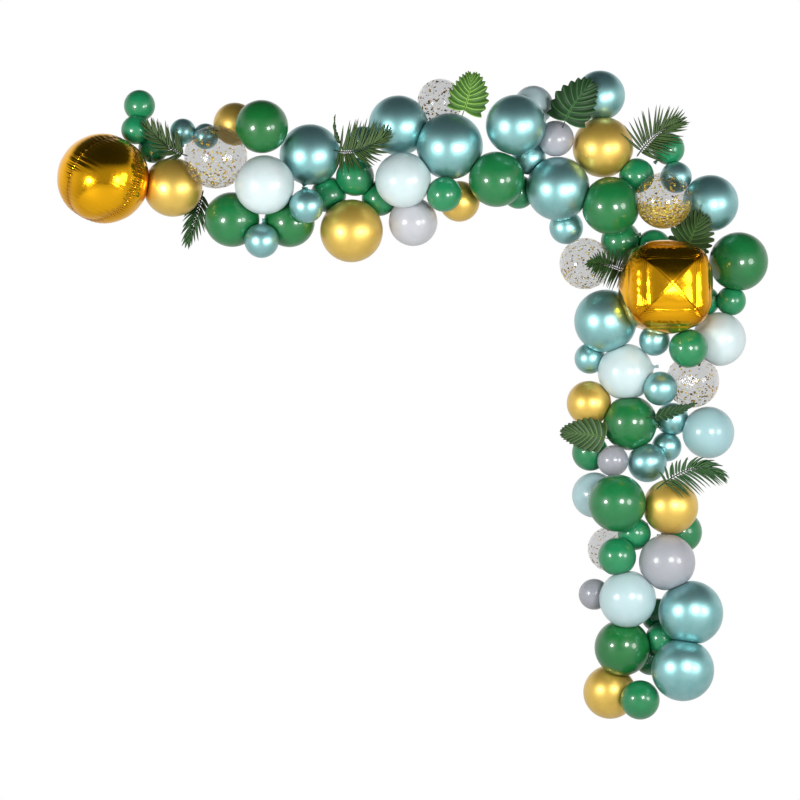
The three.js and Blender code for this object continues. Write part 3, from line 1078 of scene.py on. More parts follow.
@dataclass
class FoilGlobe:
    """A globe of four gores of metallised film, welded along two great circles that cross at its poles.

    Attributes:
        ball: Its middle, its radius across and what presses on it.
        pole: The way to the pole where the welds cross.
        first_weld: Turn of the first weld about the pole.
        wander_lengths: How far along a weld its puckers drift to and fro, slowly and quickly.
        reach_wander: The same for how far from the weld they reach.
        pole_reach: How far from a pole the pleats show.
    """

    ball: Ball
    pole: tuple[float, float, float] = (0.49, -0.05, 0.87)
    first_weld: float = math.radians(-40)
    rings: int = 320
    around: int = 132
    welds: int = 4
    valley_depth: float = 5 * MM
    valley_width: float = 34 * MM
    weld_width: float = 2.2 * MM
    weld_depth: float = 1.6 * MM
    pucker_length: float = 20 * MM
    pucker_spacing: float = 10 * MM
    pucker_height: float = 1.1 * MM
    long_crease_height: float = 0.5 * MM
    dent_height: float = 0.9 * MM
    wander_lengths: tuple[float, float] = (37 * MM, 17 * MM)
    reach_wander: float = 23 * MM
    pole_reach: float = 55 * MM
    pleats: int = 22
    pleat_height: float = 1.5 * MM

    def skin(self) -> tuple[np.ndarray, np.ndarray]:
        """Makes the puckered skin with its pole along +z.

        Returns:
            The points about the middle, and how puckered the film is at each, which also sets how much
            painted shade darkens its folds.
        """
        radius = self.ball.radius
        quarter = math.tau / self.welds
        steps = self.around // self.welds
        side = np.linspace(-1, 1, steps, endpoint=False)
        bunched = np.sign(side) * np.abs(side) ** 1.6
        turns = np.concatenate([(weld + bunched / 2) * quarter for weld in range(self.welds)])
        down = np.linspace(0, math.pi, self.rings)
        turn = np.concatenate(([0.0], np.tile(turns, self.rings - 2), [0.0]))
        fall = np.concatenate(([math.pi], np.repeat(down[::-1][1:-1], self.around), [0.0]))
        across = (turn + quarter / 2) % quarter - quarter / 2
        which = np.round(turn / quarter)
        aside = np.abs(across) * np.sin(fall) * radius
        sheer = np.sin(fall)
        along = fall * radius
        slow, quick = self.wander_lengths
        wander = np.sin(along / slow + which * 2.1) * 1.3 + np.sin(along / quick + which * 4.0) * 0.7
        drift = np.sin(along / self.reach_wander + which * 1.7 + np.sign(across))
        reach = self.pucker_length * (1 + 0.45 * drift)
        fade = np.exp(-((aside / reach) ** 1.4))
        near_pole = np.exp(-((np.minimum(along, math.pi * radius - along) / self.pole_reach) ** 2))
        waves = np.sin(along / self.pucker_spacing * math.tau + wander + np.sign(across) * 0.9)
        broad = np.sin(along / self.pucker_spacing * math.tau / 2.3 + wander * 1.7)
        pleats = np.sin(turn * self.pleats + 1.2 * np.sin(turn * 5)) * near_pole * sheer
        height = -self.valley_depth * np.exp(-((aside / self.valley_width) ** 2))
        height -= self.weld_depth * np.exp(-((aside / self.weld_width) ** 2))
        height += self.pucker_height * fade * (0.7 * waves + 0.5 * broad)
        height += self.long_crease_height * np.exp(-((aside / (2.6 * reach)) ** 2)) * broad
        height += self.pleat_height * pleats
        dents = np.sin(turn * 3 + fall * 5.0) * np.sin(fall * 7 - turn * 2)
        dents = dents + 0.6 * np.sin(turn * 7 + fall * 3)
        height += self.dent_height * dents * sheer**2
        flat = np.column_stack((np.sin(fall) * np.cos(turn), np.sin(fall) * np.sin(turn), np.cos(fall)))
        # Painted shade: the wave valleys beside the welds and the pleats round the poles get the film's deep
        # colour.
        folded = fade * (0.5 - 0.5 * waves) + near_pole * (0.4 - 0.3 * pleats)
        return flat * (radius + height)[:, None], np.clip(folded, 0, 1)

    def build(self, name: str, material: bpy.types.Material) -> bpy.types.Object:
        """Makes the globe.

        Args:
            name: The piece's name.
            material: The film's finish.

        Returns:
            The new piece.
        """
        points, pucker = self.skin()
        pole = np.array(self.pole)
        turn = turn_onto(pole / np.linalg.norm(pole))
        spin = rotation(2, self.first_weld)
        placed = (points @ spin.T @ turn.T) * GLOBE_SQUASH
        placed = self.ball.pressed(placed, TOUCH_GAP / 2) + self.ball.centre
        draft = MeshDraft()
        draft.add(placed, ring_faces(self.rings - 2, self.around), place=points, pucker=pucker)
        return draft.build(name, material)


@dataclass
class FoilCube:
    """A pillow cube of metallised film, each face four triangles welded along its two diagonals.

    Attributes:
        ball: Its middle, its half side and what presses on it.
        squareness: How square its rounded outline is.
        peak: Height of the low pyramid on each face, as a share of the half side.
        panel: Half the width of that pyramid's foot, as a share of the half side.
        lean: How far its front face looks up.
        swing: How far its front face looks to the right.
        cells: How many faces a side is cut into.
        pucker_reach: How far from a weld its puckers reach.
        rim_width: How far from the cube's edges the edge creases reach.
        weld_wander: How far along a weld its puckers drift to and fro.
        crease_wander: The same for the edge creases.
    """

    ball: Ball
    squareness: float = 4.0
    peak: float = 0.12
    panel: float = 0.6
    lean: float = math.radians(2.5)
    swing: float = math.radians(4)
    cells: int = 100
    weld_width: float = 2.6 * MM
    weld_depth: float = 1.0 * MM
    pucker_spacing: float = 15 * MM
    pucker_height: float = 1.8 * MM
    pucker_reach: float = 38 * MM
    weld_wander: float = 31 * MM
    rim_width: float = 42 * MM
    edge_crease_spacing: float = 34 * MM
    edge_crease_height: float = 0.35 * MM
    crease_wander: float = 39 * MM
    dent_size: float = 62 * MM
    dent_height: float = 0.16 * MM

    def face(self, side: int) -> tuple[np.ndarray, np.ndarray]:
        """Makes one of the six faces about the middle, as a square grid.

        Args:
            side: Which face, from zero to five.

        Returns:
            The points, and how puckered the film is at each, which also sets how much painted shade darkens
            its creases.
        """
        half = self.ball.radius
        across = np.linspace(-1, 1, self.cells + 1)
        u, v = (grid.ravel() for grid in np.meshgrid(across, across, indexing="ij"))
        out = np.ones_like(u)
        spots = np.column_stack((u, v, out))
        size = (np.abs(spots) ** self.squareness).sum(axis=1) ** (1 / self.squareness)
        middle = np.maximum(np.abs(u), np.abs(v))
        other = np.minimum(np.abs(u), np.abs(v))
        swell = 1 + self.peak * (1 - np.minimum(middle / self.panel, 1) ** 1.5)
        points = spots * (half * swell / size / (1 + self.peak))[:, None]
        weld = (middle - other) * half / math.sqrt(2)
        down = (u + v) * half * 0.7
        wander = np.sin(down / self.weld_wander + side * 2.0) * 1.2
        outer = smooth_step(middle, 0.44, 0.62)
        waves = np.sin(middle * half * math.sqrt(2) / self.pucker_spacing * math.tau + wander)
        fade = np.exp(-((weld / self.pucker_reach) ** 1.5)) * outer
        rim = np.exp(-(((1 - middle) * half / self.rim_width) ** 2))
        run = np.where(np.abs(u) > np.abs(v), v, u) * half
        shift = np.sin(run / self.crease_wander + side) * 2.2
        ribs = np.sin(run / self.edge_crease_spacing * math.tau + shift)
        height = -self.weld_depth * np.exp(-((weld / self.weld_width) ** 2)) * (middle < 0.97)
        height += self.pucker_height * fade * waves * (1 - smooth_step(middle, 0.93, 1.0))
        # Every wrinkle dies away before the cube's edge, so that neighbouring faces meet there.
        welded = 1 - smooth_step(middle, 0.96, 0.999)
        height += self.edge_crease_height * rim * ribs * smooth_step(middle - other, 0.0, 0.2) * welded
        dents = np.zeros_like(u)
        for number in range(1, 6):
            angle = number * 2.4 + side
            heading = (u * math.cos(angle) + v * math.sin(angle)) * half
            length = self.dent_size * (0.7 + 0.23 * number)
            dents += np.sin(heading * math.tau / length + number + side)
        height += self.dent_height * dents * (1 - smooth_step(middle, 0.75, 1.0))
        lengths = np.linalg.norm(points, axis=1)
        points *= (1 + height / lengths)[:, None]
        # Painted shade: the wave valleys, the edges near the rim and the welds get the film's deep colour.
        seam = np.exp(-((weld / self.weld_width) ** 2))
        return points, np.clip(fade * (0.5 - 0.5 * waves) + rim * 0.2 + seam * 0.7, 0, 1)

    def build(self, name: str, material: bpy.types.Material) -> bpy.types.Object:
        """Makes the cube, its faces joined along their edges.

        Args:
            name: The piece's name.
            material: The film's finish.

        Returns:
            The new piece.
        """
        blocks, puckers_and_painted_shade, faces = [], [], []
        step = self.cells + 1
        corner = (np.arange(self.cells)[:, None] * step + np.arange(self.cells)).ravel()
        quads = np.column_stack((corner, corner + step, corner + step + 1, corner + 1))
        for side in range(6):
            sign = 1 if side < 3 else -1
            outward = np.roll(np.eye(3), -1 - side % 3, axis=0) * ((sign,), (1,), (sign,))
            points, pucker = self.face(side)
            blocks.append(points @ outward)
            puckers_and_painted_shade.append(pucker)
            faces.append(quads + side * step * step)
        points = np.vstack(blocks)
        keys = np.round(points, 5)
        _, first, back = np.unique(keys, axis=0, return_index=True, return_inverse=True)
        points = points[first]
        turn = rotation(2, self.swing) @ rotation(0, -self.lean)
        placed = self.ball.pressed(points @ turn.T, TOUCH_GAP / 2, 0.02) + self.ball.centre
        draft = MeshDraft()
        joined = back.ravel()[np.vstack(faces)]
        draft.add(placed, [joined], place=points, pucker=np.concatenate(puckers_and_painted_shade)[first])
        return draft.build(name, material)


@dataclass(frozen=True)
class LeafPlace:
    """Where a leaf is tucked in, in millimetres from the middle of the balloon beside it.

    Attributes:
        host: That balloon's node, which holds only the one.
        root: Where the blade starts.
        tip: Where it ends.
        bow: How far the middle of the midrib stands off the straight line.
        facing: The way its upper face looks.
    """

    host: str
    root: tuple[float, float, float]
    tip: tuple[float, float, float]
    bow: tuple[float, float, float] = (0, 0, 0)
    facing: tuple[float, float, float] = (0, -1, 0)

    def midrib(self, middle: np.ndarray, share: np.ndarray) -> np.ndarray:
        """Follows the midrib.

        Args:
            middle: The host balloon's middle.
            share: Shares of the way from root to tip.

        Returns:
            The points.
        """
        root, tip, bow = (np.array(way, float) * MM for way in (self.root, self.tip, self.bow))
        share = share[:, None]
        return middle + root + (tip - root) * share + bow * 4 * share * (1 - share)

    def length(self) -> float:
        """The straight length from root to tip."""
        return float(np.linalg.norm(np.subtract(self.tip, self.root))) * MM

    def axes(self, middle: np.ndarray, share: np.ndarray) -> tuple[np.ndarray, np.ndarray, np.ndarray]:
        """Gives the leaf's own axes along its midrib.

        Args:
            middle: The host balloon's middle.
            share: Shares of the way from root to tip.

        Returns:
            Unit vectors ahead, aside and above, one row for each share.
        """
        step = 0.01
        ahead = self.midrib(middle, share + step) - self.midrib(middle, share - step)
        ahead /= np.linalg.norm(ahead, axis=1)[:, None]
        aside = np.cross(np.array(self.facing, float), ahead)
        aside /= np.linalg.norm(aside, axis=1)[:, None]
        return ahead, aside, np.cross(ahead, aside)

    def add_stalk(
        self, draft: MeshDraft, middle: np.ndarray, start: float, widths: tuple[float, float]
    ) -> None:
        """Adds the round stalk that runs on as the raised midrib.

        Args:
            draft: The mesh.
            middle: The host balloon's middle.
            start: Share at which the stalk starts, below zero behind the root.
            widths: Its radius at its start and at the tip.
        """
        rings, around = 26, 8
        share = np.linspace(start, 0.985, rings + 2)
        turn = np.arange(around) * (math.tau / around)
        circle = np.column_stack((np.cos(turn), np.sin(turn)))
        radii = np.linspace(*widths, rings)
        line = self.midrib(middle, share)
        points = sweep(line, np.array(self.facing, float), circle[None] * radii[:, None, None])
        plain = np.zeros(len(points))
        draft.add(points, ring_faces(rings, around), place=points, tone=plain, vein=plain)


@dataclass(frozen=True)
class PalmLeaf:
    """A feather-shaped palm leaf: a stalk with a row of folded, pointed leaflets along each side.

    Attributes:
        name: The piece's name.
        place: Where it is tucked in.
        finish: Its finish.
        longest: Length of its longest leaflets.
        pairs: How many leaflets a side.
        opening: Angle between the lowest leaflets and the midrib.
        closing: The same at the tip.
        fall: How far a leaflet's tip bends away, as a share of its length.
        sides: Which sides have leaflets, to the left and right of the way ahead.
    """

    name: str
    place: LeafPlace
    finish: str
    longest: float = 84 * MM
    pairs: int = 17
    width: float = 11 * MM
    opening: float = math.radians(70)
    closing: float = math.radians(16)
    fall: tuple[float, float, float] = (0.0, 0.06, -0.1)
    sides: tuple[int, ...] = (-1, 1)
    first: float = 0.04
    lift: float = 0.22
    fold: float = 0.32
    thickness: float = 0.6 * MM
    rings: int = 9
    unevenness: float = 0.07

    def leaflet(
        self, start: np.ndarray, heading: np.ndarray, upward: np.ndarray, length: float
    ) -> np.ndarray:
        """Makes one folded leaflet.

        Args:
            start: Where it leaves the midrib.
            heading: Its direction there.
            upward: The way its face looks.
            length: Its length.

        Returns:
            The points, in the order that ring_faces expects.
        """
        share = np.linspace(0, 1, self.rings + 2)
        bend = np.array(self.fall) * (length * share**2)[:, None]
        line = start + heading * (length * share)[:, None] + bend
        inner = share[1:-1]
        half = self.width / 2 * (0.65 + 0.35 * np.sin(math.pi * inner**0.62)) * (1 - inner**3) ** 0.7
        drop = -half * self.fold
        level = np.full(self.rings, self.thickness / 2)
        none = np.zeros(self.rings)
        corners = ((half, drop), (none, level), (-half, drop), (none, -level))
        sections = np.stack([np.stack(corner, axis=1) for corner in corners], axis=1)
        return sweep(line, upward, sections)

    def build(self, middle: np.ndarray, material: bpy.types.Material) -> bpy.types.Object:
        """Makes the whole leaf.

        Args:
            middle: The host balloon's middle.
            material: The leaf's finish.

        Returns:
            The new piece.
        """
        chance = np.random.default_rng(len(self.name))
        draft = MeshDraft()
        self.place.add_stalk(draft, middle, -0.12, (3.0 * MM, 1.0 * MM))
        faces = ring_faces(self.rings, 4)
        blades = [(number, side) for number in range(self.pairs) for side in self.sides] + [(self.pairs, 0)]
        for number, side in blades:
            share = np.array([self.first + (1 - self.first) * (number + side * 0.2) / self.pairs])
            share = np.clip(share, 0, 0.98)
            ahead, aside, above = (axis[0] for axis in self.place.axes(middle, share))
            start = self.place.midrib(middle, share)[0]
            angle = self.opening + (self.closing - self.opening) * share[0]
            angle += chance.normal() * self.unevenness
            heading = ahead * math.cos(angle) + aside * side * math.sin(angle) + above * self.lift * abs(side)
            heading /= np.linalg.norm(heading)
            length = self.longest * (1 - ((share[0] - 0.35) / 0.85) ** 2) * chance.uniform(0.88, 1.06)
            upward = above - aside * side * 0.35 + ahead * chance.normal() * 0.12
            points = self.leaflet(start, heading, upward, length)
            along = np.repeat(np.linspace(0, length, self.rings), 4)
            across = np.tile(np.array((1, 0, -1, 0)) * self.width / 2, self.rings)
            inner = np.column_stack((across, along, np.full(len(along), number * 0.1 + side)))
            place = np.vstack((inner[:1], inner, inner[-1:]))
            tone = np.full(len(points), np.clip(chance.normal(0.55, 0.2) + 0.25 * share[0], 0, 1))
            ridge = np.concatenate(([0.3], np.tile((0.0, 0.4, 0.0, 0.0), self.rings), [0.3]))
            draft.add(points, faces, place=place, tone=tone, vein=ridge)
        return draft.build(self.name, material)


@dataclass(frozen=True)
class RibbedLeaf:
    """A broad leaf pleated along its side veins, with a notch in its margin between each two of them.

    Attributes:
        name: The piece's name.
        place: Where it is tucked in.
        finish: Its finish.
        reach: Length of its longest side veins.
        veins: How many side veins on each side.
        heart: Angle of the lowest side veins from the way ahead.
        closing: The same at the tip.
        split: Depth of the notches, as a share of the vein's length.
        slit: How narrow the notches are.
        cup: How far the margin bends back.
    """

    name: str
    place: LeafPlace
    finish: str
    reach: float
    veins: int = 9
    heart: float = math.radians(112)
    closing: float = math.radians(8)
    split: float = 0.2
    slit: float = 1.6
    cup: float = 12 * MM
    pleat: float = 3.2 * MM
    vein_width: float = 1.2 * MM
    thickness: float = 0.7 * MM
    rows_per_vein: int = 12
    columns: int = 16

    def grid(self, middle: np.ndarray) -> tuple[np.ndarray, np.ndarray, np.ndarray, np.ndarray]:
        """Lays out the upper face, row after row from root to tip.

        Args:
            middle: The host balloon's middle.

        Returns:
            The points, the upward vector, the flat place and the vein value of each.
        """
        rows = np.linspace(0, 1, self.veins * self.rows_per_vein + 1)
        columns = np.linspace(-1, 1, 2 * self.columns + 1)
        share, side = (way.ravel() for way in np.meshgrid(rows, columns, indexing="ij"))
        phase = share * self.veins
        ridge = np.abs(2 * (phase % 1) - 1)
        out = np.abs(side)
        reach = self.reach * (1 - share**2.6) ** 0.7 * (0.8 + 0.2 * smooth_step(share, 0.0, 0.22))
        away = reach * out * (1 - self.split * (1 - ridge) ** self.slit * smooth_step(out, 0.1, 0.9))
        angle = (self.heart + (self.closing - self.heart) * share**0.75) * (1 - 0.22 * out)
        ahead, aside, above = self.place.axes(middle, share)
        height = self.pleat * (ridge - 0.5) * smooth_step(out, 0.0, 0.35) * (1 - share**3) - self.cup * out**2
        height += 3 * MM * np.sin(phase * 2.3 + side * 2) * out
        points = self.place.midrib(middle, share) + ahead * (np.cos(angle) * away)[:, None]
        points += aside * (np.sign(side) * np.sin(angle) * away)[:, None] + above * height[:, None]
        spacing = self.place.length() / self.veins
        beside = (phase - np.round(phase)) * spacing
        vein = np.exp(-((beside / self.vein_width) ** 2)) * (1 - 0.55 * out)
        vein = np.maximum(vein, np.exp(-((away / (1.4 * self.vein_width)) ** 2)))
        return points, above, np.column_stack((phase * spacing, away, side)), np.clip(vein, 0, 1)

    def build(self, middle: np.ndarray, material: bpy.types.Material) -> bpy.types.Object:
        """Makes the leaf as one closed blade with a raised midrib.

        Args:
            middle: The host balloon's middle.
            material: The leaf's finish.

        Returns:
            The new piece.
        """
        points, above, place, vein = self.grid(middle)
        count = len(points)
        across = 2 * self.columns + 1
        down = count // across
        cell = (np.arange(down - 1)[:, None] * across + np.arange(across - 1)).ravel()
        upper = np.column_stack((cell, cell + across, cell + across + 1, cell + 1))
        order = np.arange(count).reshape(down, across)
        rim = np.concatenate((order[:-1, 0], order[-1, :-1], order[:0:-1, -1], order[0, :0:-1]))
        after = np.roll(rim, -1)
        edge = np.column_stack((rim + count, after + count, after, rim))
        draft = MeshDraft()
        both = np.vstack((points, points - above * self.thickness))
        tone = np.clip(0.75 - 0.35 * np.abs(place[:, 2]), 0, 1)
        draft.add(
            both,
            [upper, upper[:, ::-1] + count, edge],
            place=np.vstack((place, place)),
            tone=np.tile(tone, 2),
            vein=np.tile(vein, 2),
        )
        self.place.add_stalk(draft, middle, -0.2, (1.9 * MM, 0.5 * MM))
        return draft.build(self.name, material)


LEAVES: tuple[PalmLeaf | RibbedLeaf, ...] = (
    PalmLeaf(
        "olive_palm_left",
        LeafPlace("confetti_balloon_top_left", (-131, 56, 14), (-276, 36, 122), (0, 0, -14), (0.1, -1, 0.2)),
        "olive",
        longest=88 * MM,
        opening=math.radians(62),
        fall=(0.0, 0.0, 0.16),
    ),
    PalmLeaf(
        "dark_palm_hanging",
        LeafPlace("gold_balloon_left_tip", (113, 100, -20), (52, 100, -208), (8, 0, 12), (0, -1, 0)),
        "dark",
        longest=80 * MM,
        pairs=14,
        opening=math.radians(58),
        fall=(0.0, 0.0, -0.25),
    ),
    PalmLeaf(
        "fan_palm_top",
        LeafPlace("teal_balloon_top_2", (113, -83, 10), (292, -115, 62), (0, 0, -22), (0, -1, 0.2)),
        "olive",
        longest=120 * MM,
        pairs=24,
        opening=math.radians(88),
        closing=math.radians(12),
        fall=(0.0, 0.0, 0.12),
    ),
    RibbedLeaf(
        "curled_leaf_top",
        LeafPlace("teal_balloon_top_2", (122, -72, 40), (104, -74, 158), (-10, 0, 0), (0.6, -1, 0)),
        "olive",
        reach=17 * MM,
        veins=8,
        heart=math.radians(60),
        cup=4 * MM,
    ),
    RibbedLeaf(
        "ribbed_leaf_top",
        LeafPlace(
            "confetti_balloon_top_middle", (94, -134, -46), (124, -108, 96), (5, 0, 0), (-0.1, -1, 0.1)
        ),
        "bright",
        reach=92 * MM,
        veins=10,
        heart=math.radians(120),
        split=0.16,
        slit=1.3,
    ),
    RibbedLeaf(
        "ribbed_leaf_dark",
        LeafPlace("teal_balloon_top_right", (-146, -123, -112), (-42, -115, 38), (-8, 0, 6), (-0.2, -1, 0)),
        "dark",
        reach=104 * MM,
        split=0.14,
        slit=1.3,
    ),
    PalmLeaf(
        "spread_palm_corner",
        LeafPlace("gold_balloon_top_right", (142, -72, -26), (288, -66, 92), (-10, 0, 8), (0.1, -1, 0)),
        "olive",
        longest=126 * MM,
        pairs=19,
        opening=math.radians(86),
        closing=math.radians(10),
        fall=(0.0, 0.04, 0.06),
    ),
    RibbedLeaf(
        "split_leaf_cube",
        LeafPlace("teal_balloon_corner_2", (-92, 36, -186), (-44, -100, -62), (-4, 0, 0), (-0.1, -1, 0.1)),
        "middle",
        reach=112 * MM,
        heart=math.radians(100),
        split=0.34,
        slit=3.0,
        cup=10 * MM,
    ),
    PalmLeaf(
        "palm_beside_cube",
        LeafPlace("confetti_balloon_corner_back", (156, 1, -32), (12, -142, -6), (0, 0, 10), (-0.1, -1, 0)),
        "dark",
        longest=96 * MM,
        pairs=20,
        opening=math.radians(84),
        fall=(0.0, 0.02, -0.06),
    ),
    RibbedLeaf(
        "narrow_leaf_side",
        LeafPlace("green_balloon_side_2", (92, -96, 26), (262, -74, 78), (0, 0, -6), (0.1, -1, -0.9)),
        "dark",
        reach=52 * MM,
        heart=math.radians(82),
        split=0.3,
        slit=2.0,
        cup=6 * MM,
    ),
    RibbedLeaf(
        "round_leaf_side",
        LeafPlace("gold_balloon_side_1", (58, -100, -138), (-110, -74, -118), (0, 0, 6), (-0.1, -1, 0.1)),
        "middle",
        reach=84 * MM,
        veins=11,
        heart=math.radians(100),
        split=0.12,
        slit=1.2,
    ),
    PalmLeaf(
        "arched_palm_side",
        LeafPlace("gold_balloon_side_2", (-38, -96, 92), (188, -40, 134), (10, 0, 40), (0, -1, 0.5)),
        "dark",
        longest=104 * MM,
        pairs=23,
        opening=math.radians(74),
        closing=math.radians(6),
        fall=(0.08, 0.0, -0.4),
    ),
)


@dataclass(frozen=True)
class Softbox:
    """A round soft light that faces the middle of the garland.

    Attributes:
        offset: Where it stands, from the garland's middle.
        width: Its width.
        power: Its power in watts.
    """

    offset: tuple[float, float, float]
    width: float
    power: float


@dataclass
class Studio:
    """A pale floor, soft lights in a white room with a dark ceiling, and a camera straight ahead.

    Attributes:
        lowest: Lowest corner of the garland.
        highest: Highest corner.
    """

    lowest: Vector
    highest: Vector
    view_width: float = 3.2
    distance: float = 14.0
    middle_depth: float = 0.13
    sensor: float = 36.0
    view_shift: tuple[float, float] = (-0.055, -0.02)
    floor_drop: float = 0.42
    floor_margin: float = 3.0
    floor_front: float = 7.0
    floor_back: float = 0.35
    softboxes: tuple[Softbox, ...] = (
        Softbox((-3.5, -3.8, 0.17), 1.25, 205),
        Softbox((1.85, -3.8, 0.17), 1.15, 105),
        Softbox((6.2, -5.2, 0.3), 2.6, 210),
    )

    def middle(self) -> Vector:
        """The middle of the garland."""
        return (self.lowest + self.highest) / 2

    def add_camera(self) -> None:
        """Adds the camera, level and square to the wall."""
        camera = bpy.data.cameras.new("camera")
        camera.sensor_width = self.sensor
        camera.lens = self.sensor * self.distance / self.view_width
        camera.clip_end = 100
        eye = bpy.data.objects.new("camera", camera)
        middle = self.middle()
        eye.location = (
            middle.x + self.view_shift[0],
            -self.middle_depth - self.distance,
            middle.z + self.view_shift[1],
        )
        eye.rotation_euler = (math.radians(90), 0, 0)
        bpy.context.scene.collection.objects.link(eye)
        bpy.context.scene.camera = eye

    def add_lights(self) -> None:
        """Adds the softboxes, aimed at the middle of the garland."""
        middle = self.middle()
        for number, box in enumerate(self.softboxes, 1):
            light = bpy.data.lights.new(f"softbox_{number}", "AREA")
            light.shape = "DISK"
            light.size = box.width
            light.energy = box.power
            lamp = bpy.data.objects.new(light.name, light)
            away = Vector(box.offset)
            lamp.location = middle + away
            lamp.rotation_euler = away.to_track_quat("Z", "Y").to_euler()
            lamp.visible_camera = False
            bpy.context.scene.collection.objects.link(lamp)

    def add_room(self) -> None:
        """Lights the garland from a room that is white round the sides and dark overhead."""
        world = bpy.data.worlds.new("studio_room")
        bpy.context.scene.world = world
        world.use_nodes = True
        tree = world.node_tree
        tree.nodes.clear()
        heading = add_node(tree, "ShaderNodeTexCoord").outputs["Generated"]
        parts = add_node(tree, "ShaderNodeSeparateXYZ", inputs={"Vector": heading})
        height = add_node(tree, "ShaderNodeMapRange", inputs={"Value": parts.outputs["Z"], 1: -1.0, 2: 1.0})
        inputs = {"Value": parts.outputs["Y"], 1: -0.2, 2: 0.5, 4: 0.1}
        rise = add_node(tree, "ShaderNodeMapRange", inputs=inputs)
        inputs = {0: height.outputs[0], 1: rise.outputs[0]}
        level = add_node(tree, "ShaderNodeMath", {"operation": "SUBTRACT"}, inputs)
        ramp = add_node(tree, "ShaderNodeValToRGB", inputs={"Fac": level.outputs[0]})
        shades = (
            (0.0, "#c6c6c4"),
            (0.32, "#dcdcda"),
            (0.47, "#f4f4f4"),
            (0.64, "#f4f5f6"),
            (0.78, "#3d4347"),
            (1.0, "#2f3437"),
        )
        stops = ramp.color_ramp.elements
        stops[0].position, stops[0].color = shades[0][0], linear(shades[0][1])
        stops[1].position, stops[1].color = shades[-1][0], linear(shades[-1][1])
        for position, shade in shades[1:-1]:
            stops.new(position).color = linear(shade)
        inputs = {"Value": parts.outputs["Y"], 1: -0.9, 2: 0.4, 3: 0.38, 4: 1.0}
        front = add_node(tree, "ShaderNodeMapRange", inputs=inputs)
        inputs = {"Color": ramp.outputs[0], "Strength": front.outputs[0]}
        room = add_node(tree, "ShaderNodeBackground", inputs=inputs)
        inputs = {"Color": linear("#ffffff"), "Strength": 1.0}
        backdrop = add_node(tree, "ShaderNodeBackground", inputs=inputs)
        ray = add_node(tree, "ShaderNodeLightPath")
        straight = add_node(
            tree,
            "ShaderNodeMath",
            {"operation": "MAXIMUM"},
            {0: ray.outputs["Is Camera Ray"], 1: ray.outputs["Is Transmission Ray"]},
        )
        inputs = {0: straight.outputs[0], 1: room.outputs[0], 2: backdrop.outputs[0]}
        mixed = add_node(tree, "ShaderNodeMixShader", inputs=inputs)
        add_node(tree, "ShaderNodeOutputWorld", inputs={"Surface": mixed.outputs[0]})

    def add_floor(self) -> None:
        """Adds the pale floor under the garland."""
        level = self.lowest.z - self.floor_drop
        left, right = self.lowest.x - self.floor_margin, self.highest.x + self.floor_margin
        near, far = -self.floor_front, self.floor_back
        corners = [(left, near, level), (right, near, level), (right, far, level), (left, far, level)]
        mesh = bpy.data.meshes.new("floor")
        mesh.from_pydata(corners, [], [(0, 1, 2, 3)])
        floor = bpy.data.objects.new("floor", mesh)
        bpy.context.scene.collection.objects.link(floor)
        mesh.materials.append(FloorFinish("painted_floor_matt_white").material())

    def build(self) -> None:
        """Sets up the whole studio."""
        self.add_camera()
        self.add_lights()
        self.add_room()
        self.add_floor()
        bpy.context.scene.view_settings.view_transform = "Standard"


